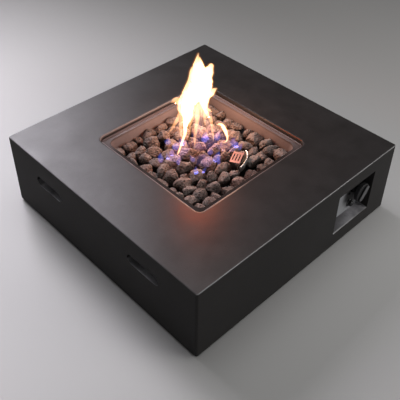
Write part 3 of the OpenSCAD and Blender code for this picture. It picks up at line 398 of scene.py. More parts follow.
# painted shade: the pinholes are painted dark inside
pinhole_shade = work_out(tree, "MULTIPLY", holes["Hole"], 0.5)
body = blend_colours(tree, pinhole_shade, body, (0.010, 0.009, 0.009))
from_weather, sheltered = (1.0, -1.0, 0.0), (-0.40, -0.05)
dull = spread(tree, grain["Patches"], 0.3, 0.7, 0.44, 0.53)
kept_sealer = measure(tree, "DOT_PRODUCT", place, from_weather)
dull = work_out(tree, "SUBTRACT", dull, spread(tree, kept_sealer, *sheltered, 0.0, 0.13))
as_cast = spread(tree, facing["Z"], 0.2, 0.6, 0.86, 0.0)
dull = work_out(tree, "MAXIMUM", dull, as_cast)
fine = relief(tree, grain["Height"], 0.16, 0.0006)
deep = relief(tree, holes["Height"], 0.25, 0.0008, fine)
fill_finish(tree, shader, body, dull, deep)
print("concrete nodes:", len(tree.nodes))

# %% [markdown]
# ## Plain finishes by family
# Plastic, rubber, paint and ceramic share one recipe: a colour that drifts a little, a grain for
# the relief and dust where they face up. One short function makes all of them, and a second one
# paints a single face, such as the front of the knob's grip, painted grey as a highlight.


# %% Moulded and painted finishes
def moulded_finish(name, colour, rough, grain_scale, bump, drift=0.18, dust_amount=0.15):
    made, tree, shader = start_finish(name)
    grain = use_group(tree, fine_grain, Scale=grain_scale)
    dust = use_group(tree, settled_dust, Amount=dust_amount)
    low = tuple(c * (1 - drift) for c in colour)
    high = tuple(min(1.0, c * (1 + drift)) for c in colour)
    body = ramp(tree, grain["Patches"], [(0.3, low), (0.7, high)])
    body = blend_colours(tree, dust["Dust"], body, (0.24, 0.22, 0.21))
    dull = spread(tree, grain["Patches"], 0.3, 0.7, rough - 0.06, rough + 0.08)
    fill_finish(tree, shader, body, dull, relief(tree, grain["Height"], bump, 0.0004))
    return made


def paint_face(finish, along, low, high, colour):
    tree, shader = open_finish(finish)
    face = use_group(tree, one_face, Along=along, Low=low, High=high)
    paint_over(tree, shader.inputs["Base Color"], face["Mask"], colour)


black_plastic = moulded_finish(
    "black_moulded_plastic", (0.011, 0.011, 0.012), rough=0.42, grain_scale=1600.0, bump=0.18)
knob_plastic = moulded_finish(
    "knob_plastic", (0.010, 0.010, 0.011), rough=0.62, grain_scale=1600.0, bump=0.18,
    dust_amount=0.04)
# painted highlight: the front of the knob's grip is painted grey as a lit face
paint_face(knob_plastic, along=(0.0, 1.0, 0.0), low=-0.3546, high=-0.3541,
           colour=(0.12, 0.12, 0.125))
foot_rubber = moulded_finish(
    "foot_rubber", (0.024, 0.023, 0.022), rough=0.78, grain_scale=900.0, bump=0.3)
panel_paint = moulded_finish(
    "panel_powder_coat", (0.36, 0.37, 0.385), rough=0.46, grain_scale=1300.0, bump=0.25,
    drift=0.10, dust_amount=0.1)
white_ceramic = moulded_finish(
    "unglazed_ceramic", (0.78, 0.74, 0.65), rough=0.7, grain_scale=1100.0, bump=0.2,
    drift=0.08, dust_amount=0.3)
red_sleeve = moulded_finish(
    "red_lead_sleeve", (0.42, 0.035, 0.02), rough=0.5, grain_scale=1500.0, bump=0.12)
battery_film = moulded_finish(
    "battery_film", (0.09, 0.10, 0.12), rough=0.3, grain_scale=700.0, bump=0.05)
print("finishes so far:", len(bpy.data.materials))

# %% [markdown]
# ### Painted shadow of the knob
# The paint round a point just below the knob is darkened as a painted shadow of the knob. The
# distance from that point, made ragged by a noise, gives the dark patch, which is painted over the
# finish made above.

# %% Painted shadow of the knob
tree, shader = open_finish(panel_paint)
knob_shadow_middle, on_panel = (0.246, 0.0, 0.106), (1.0, 0.0, 1.0)
place = place_on(tree)
from_knob = measure(tree, "DISTANCE", move_place(tree, "MULTIPLY", place, on_panel), knob_shadow_middle)
ragged_reach = clouds(tree, place, 90.0, 4.0)["Fac"]
ragged_reach = work_out(tree, "MULTIPLY_ADD", ragged_reach, 0.02, from_knob)
# painted shadow: the paint is darkened where the knob shades the panel
knob_shadow = spread(tree, ragged_reach, 0.042, 0.068, 0.95, 0.0)
paint_over(tree, shader.inputs["Base Color"], knob_shadow, (0.016, 0.015, 0.015))
print("panel nodes with the grime:", len(tree.nodes))

# %% [markdown]
# ### Metals
# Metals share another recipe: brushed lines that change the roughness and the colour, and patches
# of tarnish. Zinc, brass and copper then differ only in colour, roughness and stretch.


# %% Metal finishes
def metal_finish(name, colour, rough, stretch, bump=0.12, tarnish=(0.5, 0.45, 0.4), age=0.3):
    made, tree, shader = start_finish(name)
    drawn = use_group(tree, brushed_lines, Stretch=stretch)
    grain = use_group(tree, fine_grain, Scale=500.0)
    old = tuple(c * t for c, t in zip(colour, tarnish))
    aged = tuple(c + (o - c) * age for c, o in zip(colour, old))
    body = ramp(tree, grain["Patches"], [(0.35, colour), (0.75, aged)])
    streak = ramp(tree, drawn["Lines"], [(0.3, 0.82), (0.7, 1.0)])
    body = blend_colours(tree, 0.6, body, streak, "MULTIPLY")
    dull = spread(tree, drawn["Lines"], 0.25, 0.75, rough - 0.07, rough + 0.09)
    fill_finish(tree, shader, body, dull, relief(tree, drawn["Lines"], bump, 0.0003))
    shader.inputs["Metallic"].default_value = 1.0
    return made


zinc = metal_finish(
    "zinc_plate", (0.52, 0.52, 0.53), rough=0.36, stretch=(700.0, 700.0, 120.0))
brass = metal_finish(
    "machined_brass", (0.66, 0.45, 0.17), rough=0.3, stretch=(160.0, 900.0, 900.0), bump=0.1,
    tarnish=(0.6, 0.5, 0.4), age=0.5)
cast_brass = metal_finish(
    "cast_valve_brass", (0.53, 0.43, 0.25), rough=0.46, stretch=(420.0, 420.0, 420.0), bump=0.3,
    tarnish=(0.6, 0.5, 0.45), age=0.6)
igniter_plate = metal_finish(
    "dark_igniter_plate", (0.15, 0.15, 0.155), rough=0.24, stretch=(900.0, 60.0, 900.0), bump=0.05)
black_zinc = metal_finish(
    "black_zinc_plate", (0.035, 0.035, 0.037), rough=0.4, stretch=(700.0, 120.0, 700.0))
line_steel = metal_finish(
    "gas_line_steel", (0.46, 0.46, 0.47), rough=0.34, stretch=(500.0, 500.0, 500.0), bump=0.2)
lead_copper = metal_finish(
    "thin_copper_lead", (0.56, 0.25, 0.12), rough=0.34, stretch=(600.0, 600.0, 600.0), bump=0.1,
    tarnish=(0.5, 0.4, 0.35), age=0.6)
print("finishes so far:", len(bpy.data.materials))

# %% [markdown]
# ## Steel that has been hot
# The pan, the burner and the guard sit around the flame, and steel that has been hot keeps the
# colours of its oxide: straw first, then plum and brown. The shared tint grows towards the middle
# of the table, and brushed lines and patches of soot run over it. On the guard the pale pink
# colours are painted firelight as well as tint, and low down and on the outer face of its bow it is
# painted dark as shade out of that light.


# %% Heat-tinted finishes
def heated_finish(name, cool, straw, plum, reach, rough, stretch, metal, bump=0.15):
    made, tree, shader = start_finish(name)
    tint = use_group(tree, heat_tint, Cool=opaque(cool), Straw=opaque(straw), Plum=opaque(plum),
                     Reach=reach)
    drawn = use_group(tree, brushed_lines, Stretch=stretch)
    grain = use_group(tree, fine_grain, Scale=300.0)
    streak = ramp(tree, drawn["Lines"], [(0.3, 0.8), (0.7, 1.0)])
    body = blend_colours(tree, 0.7, tint["Color"], streak, "MULTIPLY")
    soot_and_painted_shade = spread(tree, grain["Patches"], 0.52, 0.78, 0.0, 0.5)
    body = blend_colours(tree, soot_and_painted_shade, body, tuple(c * 0.4 for c in plum))
    dull = spread(tree, grain["Patches"], 0.3, 0.7, rough - 0.08, rough + 0.12)
    fill_finish(tree, shader, body, dull, relief(tree, drawn["Lines"], bump, 0.0004))
    shader.inputs["Metallic"].default_value = metal
    return made


pan_metal = 0.35
pan_steel = heated_finish(
    "heat_tinted_pan", cool=(0.25, 0.225, 0.23), straw=(0.29, 0.245, 0.245),
    plum=(0.20, 0.15, 0.145), reach=0.34, rough=0.5, stretch=(220.0, 220.0, 900.0),
    metal=pan_metal)
burner_steel = heated_finish(
    "heat_tinted_burner", cool=(0.45, 0.41, 0.38), straw=(0.44, 0.30, 0.18),
    plum=(0.28, 0.16, 0.16), reach=0.12, rough=0.38, stretch=(500.0, 500.0, 300.0), metal=1.0)
# painted light: the guard's pale pink colours stand for the flame's light on it, over the heat tint
guard_steel = heated_finish(
    "heat_tint_and_painted_firelight_guard", cool=(0.80, 0.46, 0.40), straw=(0.78, 0.36, 0.29),
    plum=(0.60, 0.22, 0.17), reach=0.15, rough=0.36, stretch=(300.0, 900.0, 900.0), metal=0.6,
    bump=0.08)
guard_back = (-0.4695, 0.8829, 0.0)
# painted shade: low down and on the outer face of the bow the guard is painted dark, out of that
# light
paint_face(guard_steel, along=(0.0, 0.0, 1.0), low=0.188, high=0.198, colour=(0.05, 0.04, 0.038))
paint_face(guard_steel, along=guard_back, low=-0.1135, high=-0.1105, colour=(0.085, 0.078, 0.06))
print("finishes so far:", len(bpy.data.materials))

# %% [markdown]
# ### Soot and painted shade on the pan's rim
# The flat of the rim inside the hem is painted near black, as soot and as painted shade under the
# concrete lip, darkest on the near half towards the front left. Limits on the distance from the
# middle and on the height pick out the flat, and the darkening also hides the metal's shine.

# %% Soot and painted shade on the flat of the pan's rim
tree, shader = open_finish(pan_steel)
hem_starts, rim_level, near_side_slope = (0.1812, 0.1822), (0.1975, 0.1995), (-0.06, 0.06)
spot = axes(tree, place_on(tree))
from_middle = work_out(tree, "MAXIMUM", *(work_out(tree, "ABSOLUTE", spot[n]) for n in "XY"))
inside_hem = spread(tree, from_middle, *hem_starts, 1.0, 0.0)
on_rim = spread(tree, spot["Z"], *rim_level, 0.0, 1.0)
soot_and_painted_shade = work_out(tree, "MULTIPLY", inside_hem, on_rim)
# painted shade: the rim is darkest on the near half, under the concrete lip
near_side_shade = spread(tree, work_out(tree, "ADD", spot["X"], spot["Y"]), *near_side_slope, 1.0, 0.35)
soot_and_painted_shade = work_out(tree, "MULTIPLY", soot_and_painted_shade, near_side_shade)
paint_over(tree, shader.inputs["Base Color"], soot_and_painted_shade, (0.009, 0.0075, 0.007))
paint_over(tree, shader.inputs["Roughness"], soot_and_painted_shade, 0.95)
feed(tree, spread(tree, soot_and_painted_shade, 0.0, 1.0, pan_metal, 0.0), shader.inputs["Metallic"])
print("pan nodes with the soot:", len(tree.nodes))

# %% [markdown]
# ## Dress the solid pieces
# Most pieces have the right shape already, so each keeps its solid and only changes its finish. A
# table from finish to pieces reads like the maker's parts list.

# %% Dress the solid pieces
dress = {
    concrete: ["table_shell"],
    foot_rubber: ["front_left_foot", "front_right_foot", "back_left_foot", "back_right_foot"],
    zinc: ["foot_screws", "guard_screw", "panel_screws", "air_shutter", "valve_stem", "igniter_nut",
           "plunger_spring", "igniter_spring"],
    black_zinc: ["valve_screws"],
    pan_steel: ["burner_pan"],
    burner_steel: ["burner_ring", "air_mixer", "electrode_rod", "thermocouple"],
    guard_steel: ["flame_guard"],
    brass: ["burner_lock_nut", "burner_elbow", "gas_orifice", "flare_nuts", "thermocouple_nut",
            "valve_plunger", "gas_inlet"],
    cast_brass: ["valve_body"],
    line_steel: ["gas_line"],
    white_ceramic: ["electrode_insulator"],
    red_sleeve: ["igniter_lead"],
    lead_copper: ["thermocouple_lead"],
    panel_paint: ["control_panel"],
    black_plastic: ["knob_bezel", "igniter_button"],
    knob_plastic: ["control_knob"],
    igniter_plate: ["igniter_housing"],
    battery_film: ["battery"],
}
for finish, names in dress.items():
    for name in names:
        nodes[name].data.materials.clear()
        nodes[name].data.materials.append(finish)
print("dressed:", sum(len(names) for names in dress.values()), "pieces")

# %% [markdown]
# ## Lava stones
# Lava rock is a hardened froth: broken lumps with blunt corners, pocked all over by bubbles, each
# with its own tone between grey and rust. The tone is drawn per lump, rustier near the flame, and
# mottled by noise, so one finish serves all the stones.

# %% Stone colour
lava, tree, shader = start_finish("lava_stone")
place = place_on(tree)
each = put(tree, "NewGeometry").outputs["Random Per Island"]
stone_tones = [(0.0, (0.078, 0.072, 0.069)), (0.2, (0.150, 0.130, 0.120)),
               (0.4, (0.105, 0.096, 0.090)), (0.6, (0.185, 0.145, 0.127)),
               (0.8, (0.125, 0.113, 0.106)), (1.0, (0.230, 0.195, 0.175))]
tone = ramp(tree, each, stone_tones)
fire_middle, fire_reach = (0.02, 0.03, 0.0), (0.05, 0.16)
away = measure(tree, "DISTANCE", move_place(tree, "MULTIPLY", place, on_plan), fire_middle)
rust = blend_colours(tree, spread(tree, away, *fire_reach, 0.5, 0.0), tone, (0.25, 0.145, 0.112))
mottle = clouds(tree, place, 130.0, 6.0, 0.65)["Fac"]
mottle = ramp(tree, mottle, [(0.32, (0.42, 0.42, 0.43)), (0.66, (1.5, 1.46, 1.42))])
rust = blend_colours(tree, 0.85, rust, mottle, "MULTIPLY")
grain = use_group(tree, fine_grain, Scale=700.0)
sand = ramp(tree, grain["Height"], [(0.3, 0.6), (0.72, 1.35)])
rust = blend_colours(tree, 0.8, rust, sand, "MULTIPLY")
print("stone colour nodes:", len(tree.nodes))

# %% [markdown]
# ### Ash, bubbles and painted shade on the stones
# Pale ash lies on top, and the tops are painted paler as lit faces too. The bubbles are painted dark
# as the shade inside them, and the lower layer and the undersides are painted dark as shade. The
# finest bubbles are left to the finish, in two sizes, because shaping them would take far too many
# faces.

# %% Ash, bubbles and painted shade
big = use_group(tree, small_holes, Scale=170.0, Reach=0.42)
small = use_group(tree, small_holes, Scale=420.0, Reach=0.45)
# ash and painted light: the tops are painted pale
ash_and_top_light = use_group(tree, settled_dust, Amount=0.6)
rust = blend_colours(tree, ash_and_top_light["Dust"], rust, (0.40, 0.37, 0.355))
for holes, share in ((big, 0.8), (small, 0.5)):
    # painted shade: the bubbles are painted dark inside
    dark = work_out(tree, "MULTIPLY", holes["Hole"], share)
    rust = blend_colours(tree, dark, rust, (0.014, 0.011, 0.010))
# painted shade: the lower layer and the undersides are painted dark
lower_layer_shade = spread(tree, axes(tree, place)["Z"], 0.150, 0.176, 0.92, 0.0)
underside_shade = spread(tree, facing_of(tree)["Z"], -0.25, 0.45, 0.7, 0.0)
soot_and_painted_shade = work_out(tree, "MAXIMUM", lower_layer_shade, underside_shade)
rust = blend_colours(tree, soot_and_painted_shade, rust, (0.010, 0.009, 0.0085))
dull = spread(tree, grain["Patches"], 0.3, 0.7, 0.82, 0.97)
surface = relief(tree, grain["Height"], 0.5, 0.0012)
surface = relief(tree, small["Height"], 0.6, 0.0016, surface)
surface = relief(tree, big["Height"], 0.8, 0.003, surface)
fill_finish(tree, shader, rust, dull, surface)
shader.inputs["Specular IOR Level"].default_value = 0.25
print("stone nodes:", len(tree.nodes))

# %% [markdown]
# ### Where the stones lie
# The solids give the place and bulk of each stone. Their mesh is welded and sorted into lumps that
# share no corner, one per stone, which needs no list of places written down twice.


# %% Sort the stones
def weld(mesh):
    points = np.zeros(len(mesh.vertices) * 3)
    mesh.vertices.foreach_get("co", points)
    keys = np.round(points.reshape(-1, 3) * 1e6).astype(np.int64)
    unique, where = np.unique(keys, axis=0, return_inverse=True)
    where = where.reshape(-1)
    faces = [tuple(int(where[v]) for v in p.vertices) for p in mesh.polygons]
    return unique * 1e-6, [f for f in faces if len(set(f)) > 2]


def islands(count, faces):
    root = list(range(count))

    def find(v):
        while root[v] != v:
            root[v] = root[root[v]]
            v = root[v]
        return v

    for face in faces:
        for v in face[1:]:
            root[find(v)] = find(face[0])
    return np.array([find(v) for v in range(count)])


stone_points, stone_faces = weld(nodes["lava_rocks"].data)
stone_of = islands(len(stone_points), stone_faces)
print("stone solids:", len(np.unique(stone_of)))

# %% [markdown]
# ### Loosen the rows
# Stones that were tipped in lie in no rows, so those on top are shifted by a few millimetres and
# resized a little. Those beside the guard keep their places, and the lower ones, which only show
# through the gaps, are a little fuller.

# %% Places of the stones
guard_low, guard_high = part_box("flame_guard")
guard_middle = np.array((guard_low + guard_high) / 2)
pan_low, pan_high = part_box("burner_pan")
layer_split, guard_reach = 0.158, 0.055
shift, lift = 0.005, 0.003
flattest, guard_stone_size, lower_stone_size = 0.88, 0.96, 1.12
draw = random.Random(12)
stones = []
for stone in np.unique(stone_of):
    mine = stone_points[stone_of == stone]
    low, high = mine.min(axis=0), mine.max(axis=0)
    middle, half = (low + high) / 2, (high - low) / 2
    upper = middle[2] > layer_split
    near_guard = np.hypot(*(middle - guard_middle)[:2]) < guard_reach
    if upper and not near_guard:
        middle = middle + np.array([draw.uniform(-shift, shift), draw.uniform(-shift, shift),
                                    draw.uniform(-shift, lift)])
        half = half * draw.uniform(0.90, 1.14)
        half[2] = max(half[2], flattest * (half[0] + half[1]) / 2)
    else:
        half = half * (guard_stone_size if upper else lower_stone_size)
    stones.append((middle, half, upper))
print("stones:", len(stones))

# %% [markdown]
# ### Chips
# Where a gap on top is wide enough, a small chip has fallen in. Trying many random places and
# keeping those where a chip fits is slow but simple, and few gaps are that wide.

# %% Chips between the stones
tops = [(m, (h[0] + h[1]) / 2) for m, h, upper in stones if upper]
reach = pan_high.x - 0.034
tries, closeness, guard_gap = 6000, 0.92, 0.04
for _ in range(tries):
    size = draw.uniform(0.0085, 0.0125)
    x, y = draw.uniform(-reach, reach), draw.uniform(-reach, reach)
    gaps = [math.hypot(m[0] - x, m[1] - y) - closeness * (h + size) for m, h in tops]
    if min(gaps) > 0 and math.hypot(guard_middle[0] - x, guard_middle[1] - y) > guard_gap:
        nearest = sorted(range(len(gaps)), key=gaps.__getitem__)[:3]
        level = sum(tops[i][0][2] for i in nearest) / 3 + draw.uniform(-0.003, 0.007)
        spot = np.array([x, y, level])
        tops.append((spot, size))
        bulk = [draw.uniform(0.95, 1.3), draw.uniform(0.95, 1.2), draw.uniform(0.85, 1.1)]
        stones.append((spot, size * np.array(bulk), True))
print("stones and chips:", len(stones))

# %% [markdown]
# ### The shape of a broken stone
# A ball pressed against a few random planes gets flats and blunt corners, as broken stone has.
# Pressing all planes at once with a high power rounds the corners, which a plain cut wouldn't.


# %% Shape of a stone
def ball(steps):
    shape = bmesh.new()
    bmesh.ops.create_icosphere(shape, subdivisions=steps, radius=1.0)
    points = np.array([v.co for v in shape.verts])
    faces = np.array([[v.index for v in f.verts] for f in shape.faces])
    shape.free()
    return points, faces


def some_direction():
    return Vector((draw.gauss(0, 1), draw.gauss(0, 1), draw.gauss(0, 1))).normalized()


def stone_shape(points, half, flats=10, bluntness=9, furthest=1.12, tilt=0.5):
    normals = np.array([some_direction() for _ in range(flats)])
    depth = np.array([draw.uniform(0.76, 1.02) for _ in range(flats)])
    pressed = np.maximum(points @ normals.T, 0.0) / depth
    reach = (pressed ** bluntness).sum(axis=1) ** (-1.0 / bluntness)
    shape = points * np.minimum(reach, furthest)[:, None]
    turn = np.array(Matrix.Rotation(draw.uniform(-tilt, tilt), 3, some_direction()))
    return (shape * half) @ turn.T


fine_ball, plain_ball = ball(5), ball(3)
print("corners of a fine and a plain stone:", len(fine_ball[0]), len(plain_ball[0]))

# %% [markdown]
# ### Lumps and bubbles
# Noise at three sizes bends each stone, and the cells of a random pattern bite bubbles out of it.
# The stones are kept inside the leaning walls of the pan and above its floor, and all become one
# piece in the place of the plain stones.


# %% Shape each stone
def mesh_object(name, points, faces, finish, smooth=True):
    mesh = bpy.data.meshes.new(name)
    mesh.from_pydata(points, [], faces)
    if smooth:
        mesh.shade_smooth()
    mesh.materials.append(finish)
    return add_object(name, mesh)


lumps = ((1.1, 0.11), (2.7, 0.06), (6.5, 0.04))
bubble_scale, bubble_depth, bubble_reach = 165.0, 0.0024, 0.45
pan_wall_low, pan_wall_lean, pan_wall_from, pan_sheet = 0.1635, 0.10, 0.124, 0.0014
points, faces, count = [], [], 0
for middle, half, upper in stones:
    ball_points, ball_faces = fine_ball if upper else plain_ball
    shape = stone_shape(ball_points, half)
    away = Vector((draw.uniform(0, 9), draw.uniform(0, 9), draw.uniform(0, 9)))
    bulk = float(half.mean())
    for i, p in enumerate(shape):
        v = Vector(p)
        lump = sum(share * noise.noise(v * (rate / bulk) + away) for rate, share in lumps)
        bubble = noise.voronoi(v * bubble_scale + away)[0][0]
        bite = bubble_depth * max(0.0, bubble_reach - bubble) / bubble_reach
        shape[i] = p * (1.0 + lump - bite / max(v.length, 1e-4))
    shape += middle
    wall = pan_wall_low + pan_wall_lean * (shape[:, 2] - pan_wall_from)
    shape[:, 0] = np.clip(shape[:, 0], -wall, wall)
    shape[:, 1] = np.clip(shape[:, 1], -wall, wall)
    shape[:, 2] = np.maximum(shape[:, 2], pan_low.z + pan_sheet)
    points.append(shape)
    faces.append(ball_faces + count)
    count += len(shape)
lava_stones = mesh_object(
    "lava_stones", np.vstack(points).tolist(), np.vstack(faces).tolist(), lava)
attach(lava_stones, "table")
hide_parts("lava_rocks")
print("stone faces:", len(lava_stones.data.polygons))

# %% [markdown]
# ## Springs
# The knob and the igniter button are pushed back by coil springs. A solid can't shorten, so a
# pressed plunger would cut into its spring. The wire of each solid is taken over point by point,
# which keeps its size and place, and the copy gets a mesh of its own and rides on the table.


# %% Springs
def shortening_spring(name, node):
    spring_points, spring_faces = weld(nodes[node].data)
    made = mesh_object(name, spring_points.tolist(), spring_faces, zinc)
    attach(made, "table")
    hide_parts(node)
    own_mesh(made)


shortening_spring("plunger_coil", "plunger_spring")
shortening_spring("igniter_coil", "igniter_spring")

# %% [markdown]
# ## Bright lip of the flame guard
# The guard carries a wider bowed lip that keeps stones off its slots. Its free edge is rolled into
# a bead and has stayed bright. Bent sheet has one section all along, so a thin wall with a round
# head is carried along a smooth line that hugs the bow of the guard.

# %% Line and section of the lip
mm = 0.001
lip_line = [(34.0, -3.0), (28.0, -7.6), (22.0, -10.6), (13.0, -12.7), (3.8, -13.4), (-8.0, -13.2),
            (-19.4, -11.8), (-28.0, -9.4), (-35.0, -6.2)]
lip_foot, bead_level, bead_radius, lip_half = 0.183, 0.2004, 0.0017, 0.0006
bead_start, bead_sweep, bead_steps = -65.0, 310.0, 15


def smooth_path(knots, count):
    knots = np.asarray(knots, float)
    padded = np.vstack([2 * knots[0] - knots[1], knots, 2 * knots[-1] - knots[-2]])
    path = []
    for i in range(count):
        u = i / (count - 1) * (len(knots) - 1)
        k = min(int(u), len(knots) - 2)
        f = u - k
        a, b, c, d = padded[k:k + 4]
        bow, twist = 2 * a - 5 * b + 4 * c - d, 3 * b - a - 3 * c + d
        path.append(0.5 * (2 * b + (c - a) * f + bow * f * f + twist * f ** 3))
    return np.array(path)


def lip_section():
    angles = [math.radians(bead_start + bead_sweep * i / bead_steps) for i in range(bead_steps + 1)]
    head = [(bead_radius * math.cos(a), bead_level + bead_radius * math.sin(a)) for a in angles]
    return [(lip_half, lip_foot)] + head + [(-lip_half, lip_foot)]


def tube_faces(first, rings, sides):
    last = first + (rings - 1) * sides
    faces = []
    for ring in range(first, last, sides):
        for j in range(sides):
            k = (j + 1) % sides
            faces.append((ring + j, ring + k, ring + sides + k, ring + sides + j))
    ends = [tuple(first + j for j in reversed(range(sides))), tuple(range(last, last + sides))]
    return faces + ends


lip_path = smooth_path(lip_line, 60) * mm
section = lip_section()
print("lip line:", len(lip_path), "places, section:", len(section), "corners")

# %% [markdown]
# ### Bend the lip
# At each place on the line the section is set square to it, then turned and moved to the guard.
# Skinning the sections gives a closed piece of trim, thinner and longer than the guard's solid.

# %% Guard lip
lip_finish = metal_finish(
    "bright_lip", (0.93, 0.91, 0.88), rough=0.36, stretch=(300.0, 300.0, 900.0), bump=0.06,
    tarnish=(0.8, 0.7, 0.6), age=0.2)
guard_place, guard_turn = Vector((0.036, -0.106, 0.0)), math.radians(28.0)
turn = Matrix.Rotation(guard_turn, 3, "Z")
lip_points = []
for i, (x, y) in enumerate(lip_path):
    before, after = lip_path[max(i - 1, 0)], lip_path[min(i + 1, len(lip_path) - 1)]
    out = Vector((after[1] - before[1], before[0] - after[0], 0.0)).normalized()
    for away, level in section:
        spot = turn @ (Vector((x, y, 0.0)) + out * away)
        lip_points.append(guard_place + spot + Vector((0.0, 0.0, level)))
lip_faces = tube_faces(0, len(lip_path), len(section))
guard_lip = mesh_object("guard_lip", lip_points, lip_faces, lip_finish)
shape = bmesh.new()
shape.from_mesh(guard_lip.data)
bmesh.ops.recalc_face_normals(shape, faces=shape.faces)
shape.to_mesh(guard_lip.data)
shape.free()
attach(guard_lip, "table")
print("lip faces:", len(guard_lip.data.polygons))

# %% [markdown]
# ## Floor and light
# A plain pale floor shows the object without a story. It keeps the shadow, and looks pale to the
# eye and in reflections without throwing much light back on the walls, so that the two near walls
# stay dark.

# %% Floor
floor_reach, floor_level, floor_corners = 2.4, -0.0005, 96
floor_finish, tree, shader = start_finish("studio_floor")
ray = put(tree, "LightPath").outputs
seen = work_out(tree, "MAXIMUM", ray["Is Camera Ray"], ray["Is Glossy Ray"])
seen = work_out(tree, "MAXIMUM", seen, ray["Is Transmission Ray"])
pale = blend_colours(tree, seen, (0.09, 0.088, 0.085), (0.50, 0.497, 0.489))
feed(tree, pale, shader.inputs["Base Color"])
shader.inputs["Roughness"].default_value = 0.85
turns = [2 * math.pi * i / floor_corners for i in range(floor_corners)]
rim = [(floor_reach * math.cos(a), floor_reach * math.sin(a), floor_level) for a in turns]
floor = mesh_object("studio_floor", rim, [tuple(range(floor_corners))], floor_finish, smooth=False)
print("floor reaches", floor_reach, "m from the middle")

# %% [markdown]
# ### Lamps and air
# The lamp behind has a grid, so its narrow beam puts a soft sheen on the left of the top without a
# glare towards the front. The one above fills in, and a strip lights the right of the front wall.
# The air is pale at the horizon, where it meets the floor, and dim above.


# %% Lamps
def soft_lamp(name, place, aim, width, height, watts, colour, beam=180.0):
    data = bpy.data.lights.new(name, "AREA")
    data.spread = math.radians(beam)
    data.shape = "RECTANGLE"
    data.size, data.size_y = width, height
    data.energy = watts
    data.color = colour
    lamp = add_object(name, data)
    lamp.location = place
    lamp.rotation_euler = (Vector(aim) - Vector(place)).to_track_quat("-Z", "Y").to_euler()


soft_lamp("back_softbox", place=(0.0, 2.4, 2.0), aim=(-0.918, 0.819, 0.215), width=1.4, height=1.2,
          watts=24.0, colour=(0.96, 0.92, 1.0), beam=64.0)
soft_lamp("overhead_softbox", place=(0.2, 0.1, 2.7), aim=(0.0, 0.0, 0.2), width=1.8, height=1.8,
          watts=17.0, colour=(1.0, 1.0, 1.0))
soft_lamp("front_strip", place=(1.45, -2.1, 1.2), aim=(0.62, -0.35, 0.1), width=1.7, height=0.4,
          watts=6.2, colour=(1.0, 0.98, 0.97), beam=80.0)
world = bpy.data.worlds.new("studio_air")
world.use_nodes = True
tree = world.node_tree
upward = axes(tree, put(tree, "TexCoord").outputs["Generated"])["Z"]
air = ramp(tree, upward, [(0.0, (0.42, 0.418, 0.412)), (0.10, 0.30), (0.30, (0.12, 0.12, 0.121)),
                          (0.6, (0.085, 0.085, 0.086))])
feed(tree, air, tree.nodes["Background"].inputs["Color"])
bpy.context.scene.world = world
bpy.context.scene.view_settings.view_transform = "Standard"

# %% [markdown]
# ## The fire
# Fire is light, not a piece of the table, so it belongs to the stage as the lamps do. A flame is a
# thin glowing gas: it shines more where the eye looks through more of it. Closed tongues filled
# with a glowing volume do the same by themselves, orange at their thin edges and nearly white in
# the thick middle. Each tongue follows a few knots, in millimetres: how far across, how far in, how
# high and how thick.

# %% Tongues of flame
across = Vector((0.7152, -0.6989, 0.0))
inward = Vector((0.6989, 0.7152, 0.0))
ripples = ((1.0, 0.26), (3.1, 0.2), (7.3, 0.1))
ripple_along, ripple_round, thinnest, flatness = 0.02, 0.6, 0.4, 0.8


def tongue_points(knots, rings, sides):
    path = smooth_path(knots, rings)
    points = []
    for i, (s, d, z, r) in enumerate(path):
        before, after = path[max(i - 1, 0)], path[min(i + 1, rings - 1)]
        along = Vector((after[0] - before[0], after[2] - before[2])).normalized()
        for j in range(sides):
            a = 2 * math.pi * j / sides
            spot = Vector((math.cos(a), math.sin(a), 0)) * ripple_round
            spot = Vector((s, d, z)) * ripple_along + spot
            swell = sum(share * noise.noise(spot * rate) for rate, share in ripples)
            reach = max(r, thinnest) * (1 + swell)
            side = reach * math.cos(a)
            centre = across * (s + side * along.y) + inward * (d + flatness * reach * math.sin(a))
            points.append(tuple((centre + Vector((0, 0, z - side * along.x))) * mm))
    return points


def glowing_gas(name, colour, strength):
    made = bpy.data.materials.new(name)
    made.use_nodes = True
    tree = made.node_tree
    tree.nodes.clear()
    glow = put(tree, "Emission", {"Color": opaque(colour), "Strength": strength})
    put(tree, "OutputMaterial", {"Volume": glow.outputs["Emission"]})
    return made


def flame_piece(name, tongues, gas, rings=56, sides=18):
    points, faces = [], []
    for knots in tongues:
        faces += tube_faces(len(points), rings, sides)
        points += tongue_points(knots, rings, sides)
    made = mesh_object(name, points, faces, gas, smooth=False)
    made.visible_shadow = made.visible_diffuse = made.visible_glossy = False
    print(name, "has", len(tongues), "tongues")


# %% [markdown]
# ### The tall flame
# A thick body leans and curls, with two bright strands and softer wisps. A faint veil hangs below
# it, and a halo a little wider than the tongues softens their edges. Each of these has a gas of its
# own, because colour and brightness belong to the gas.

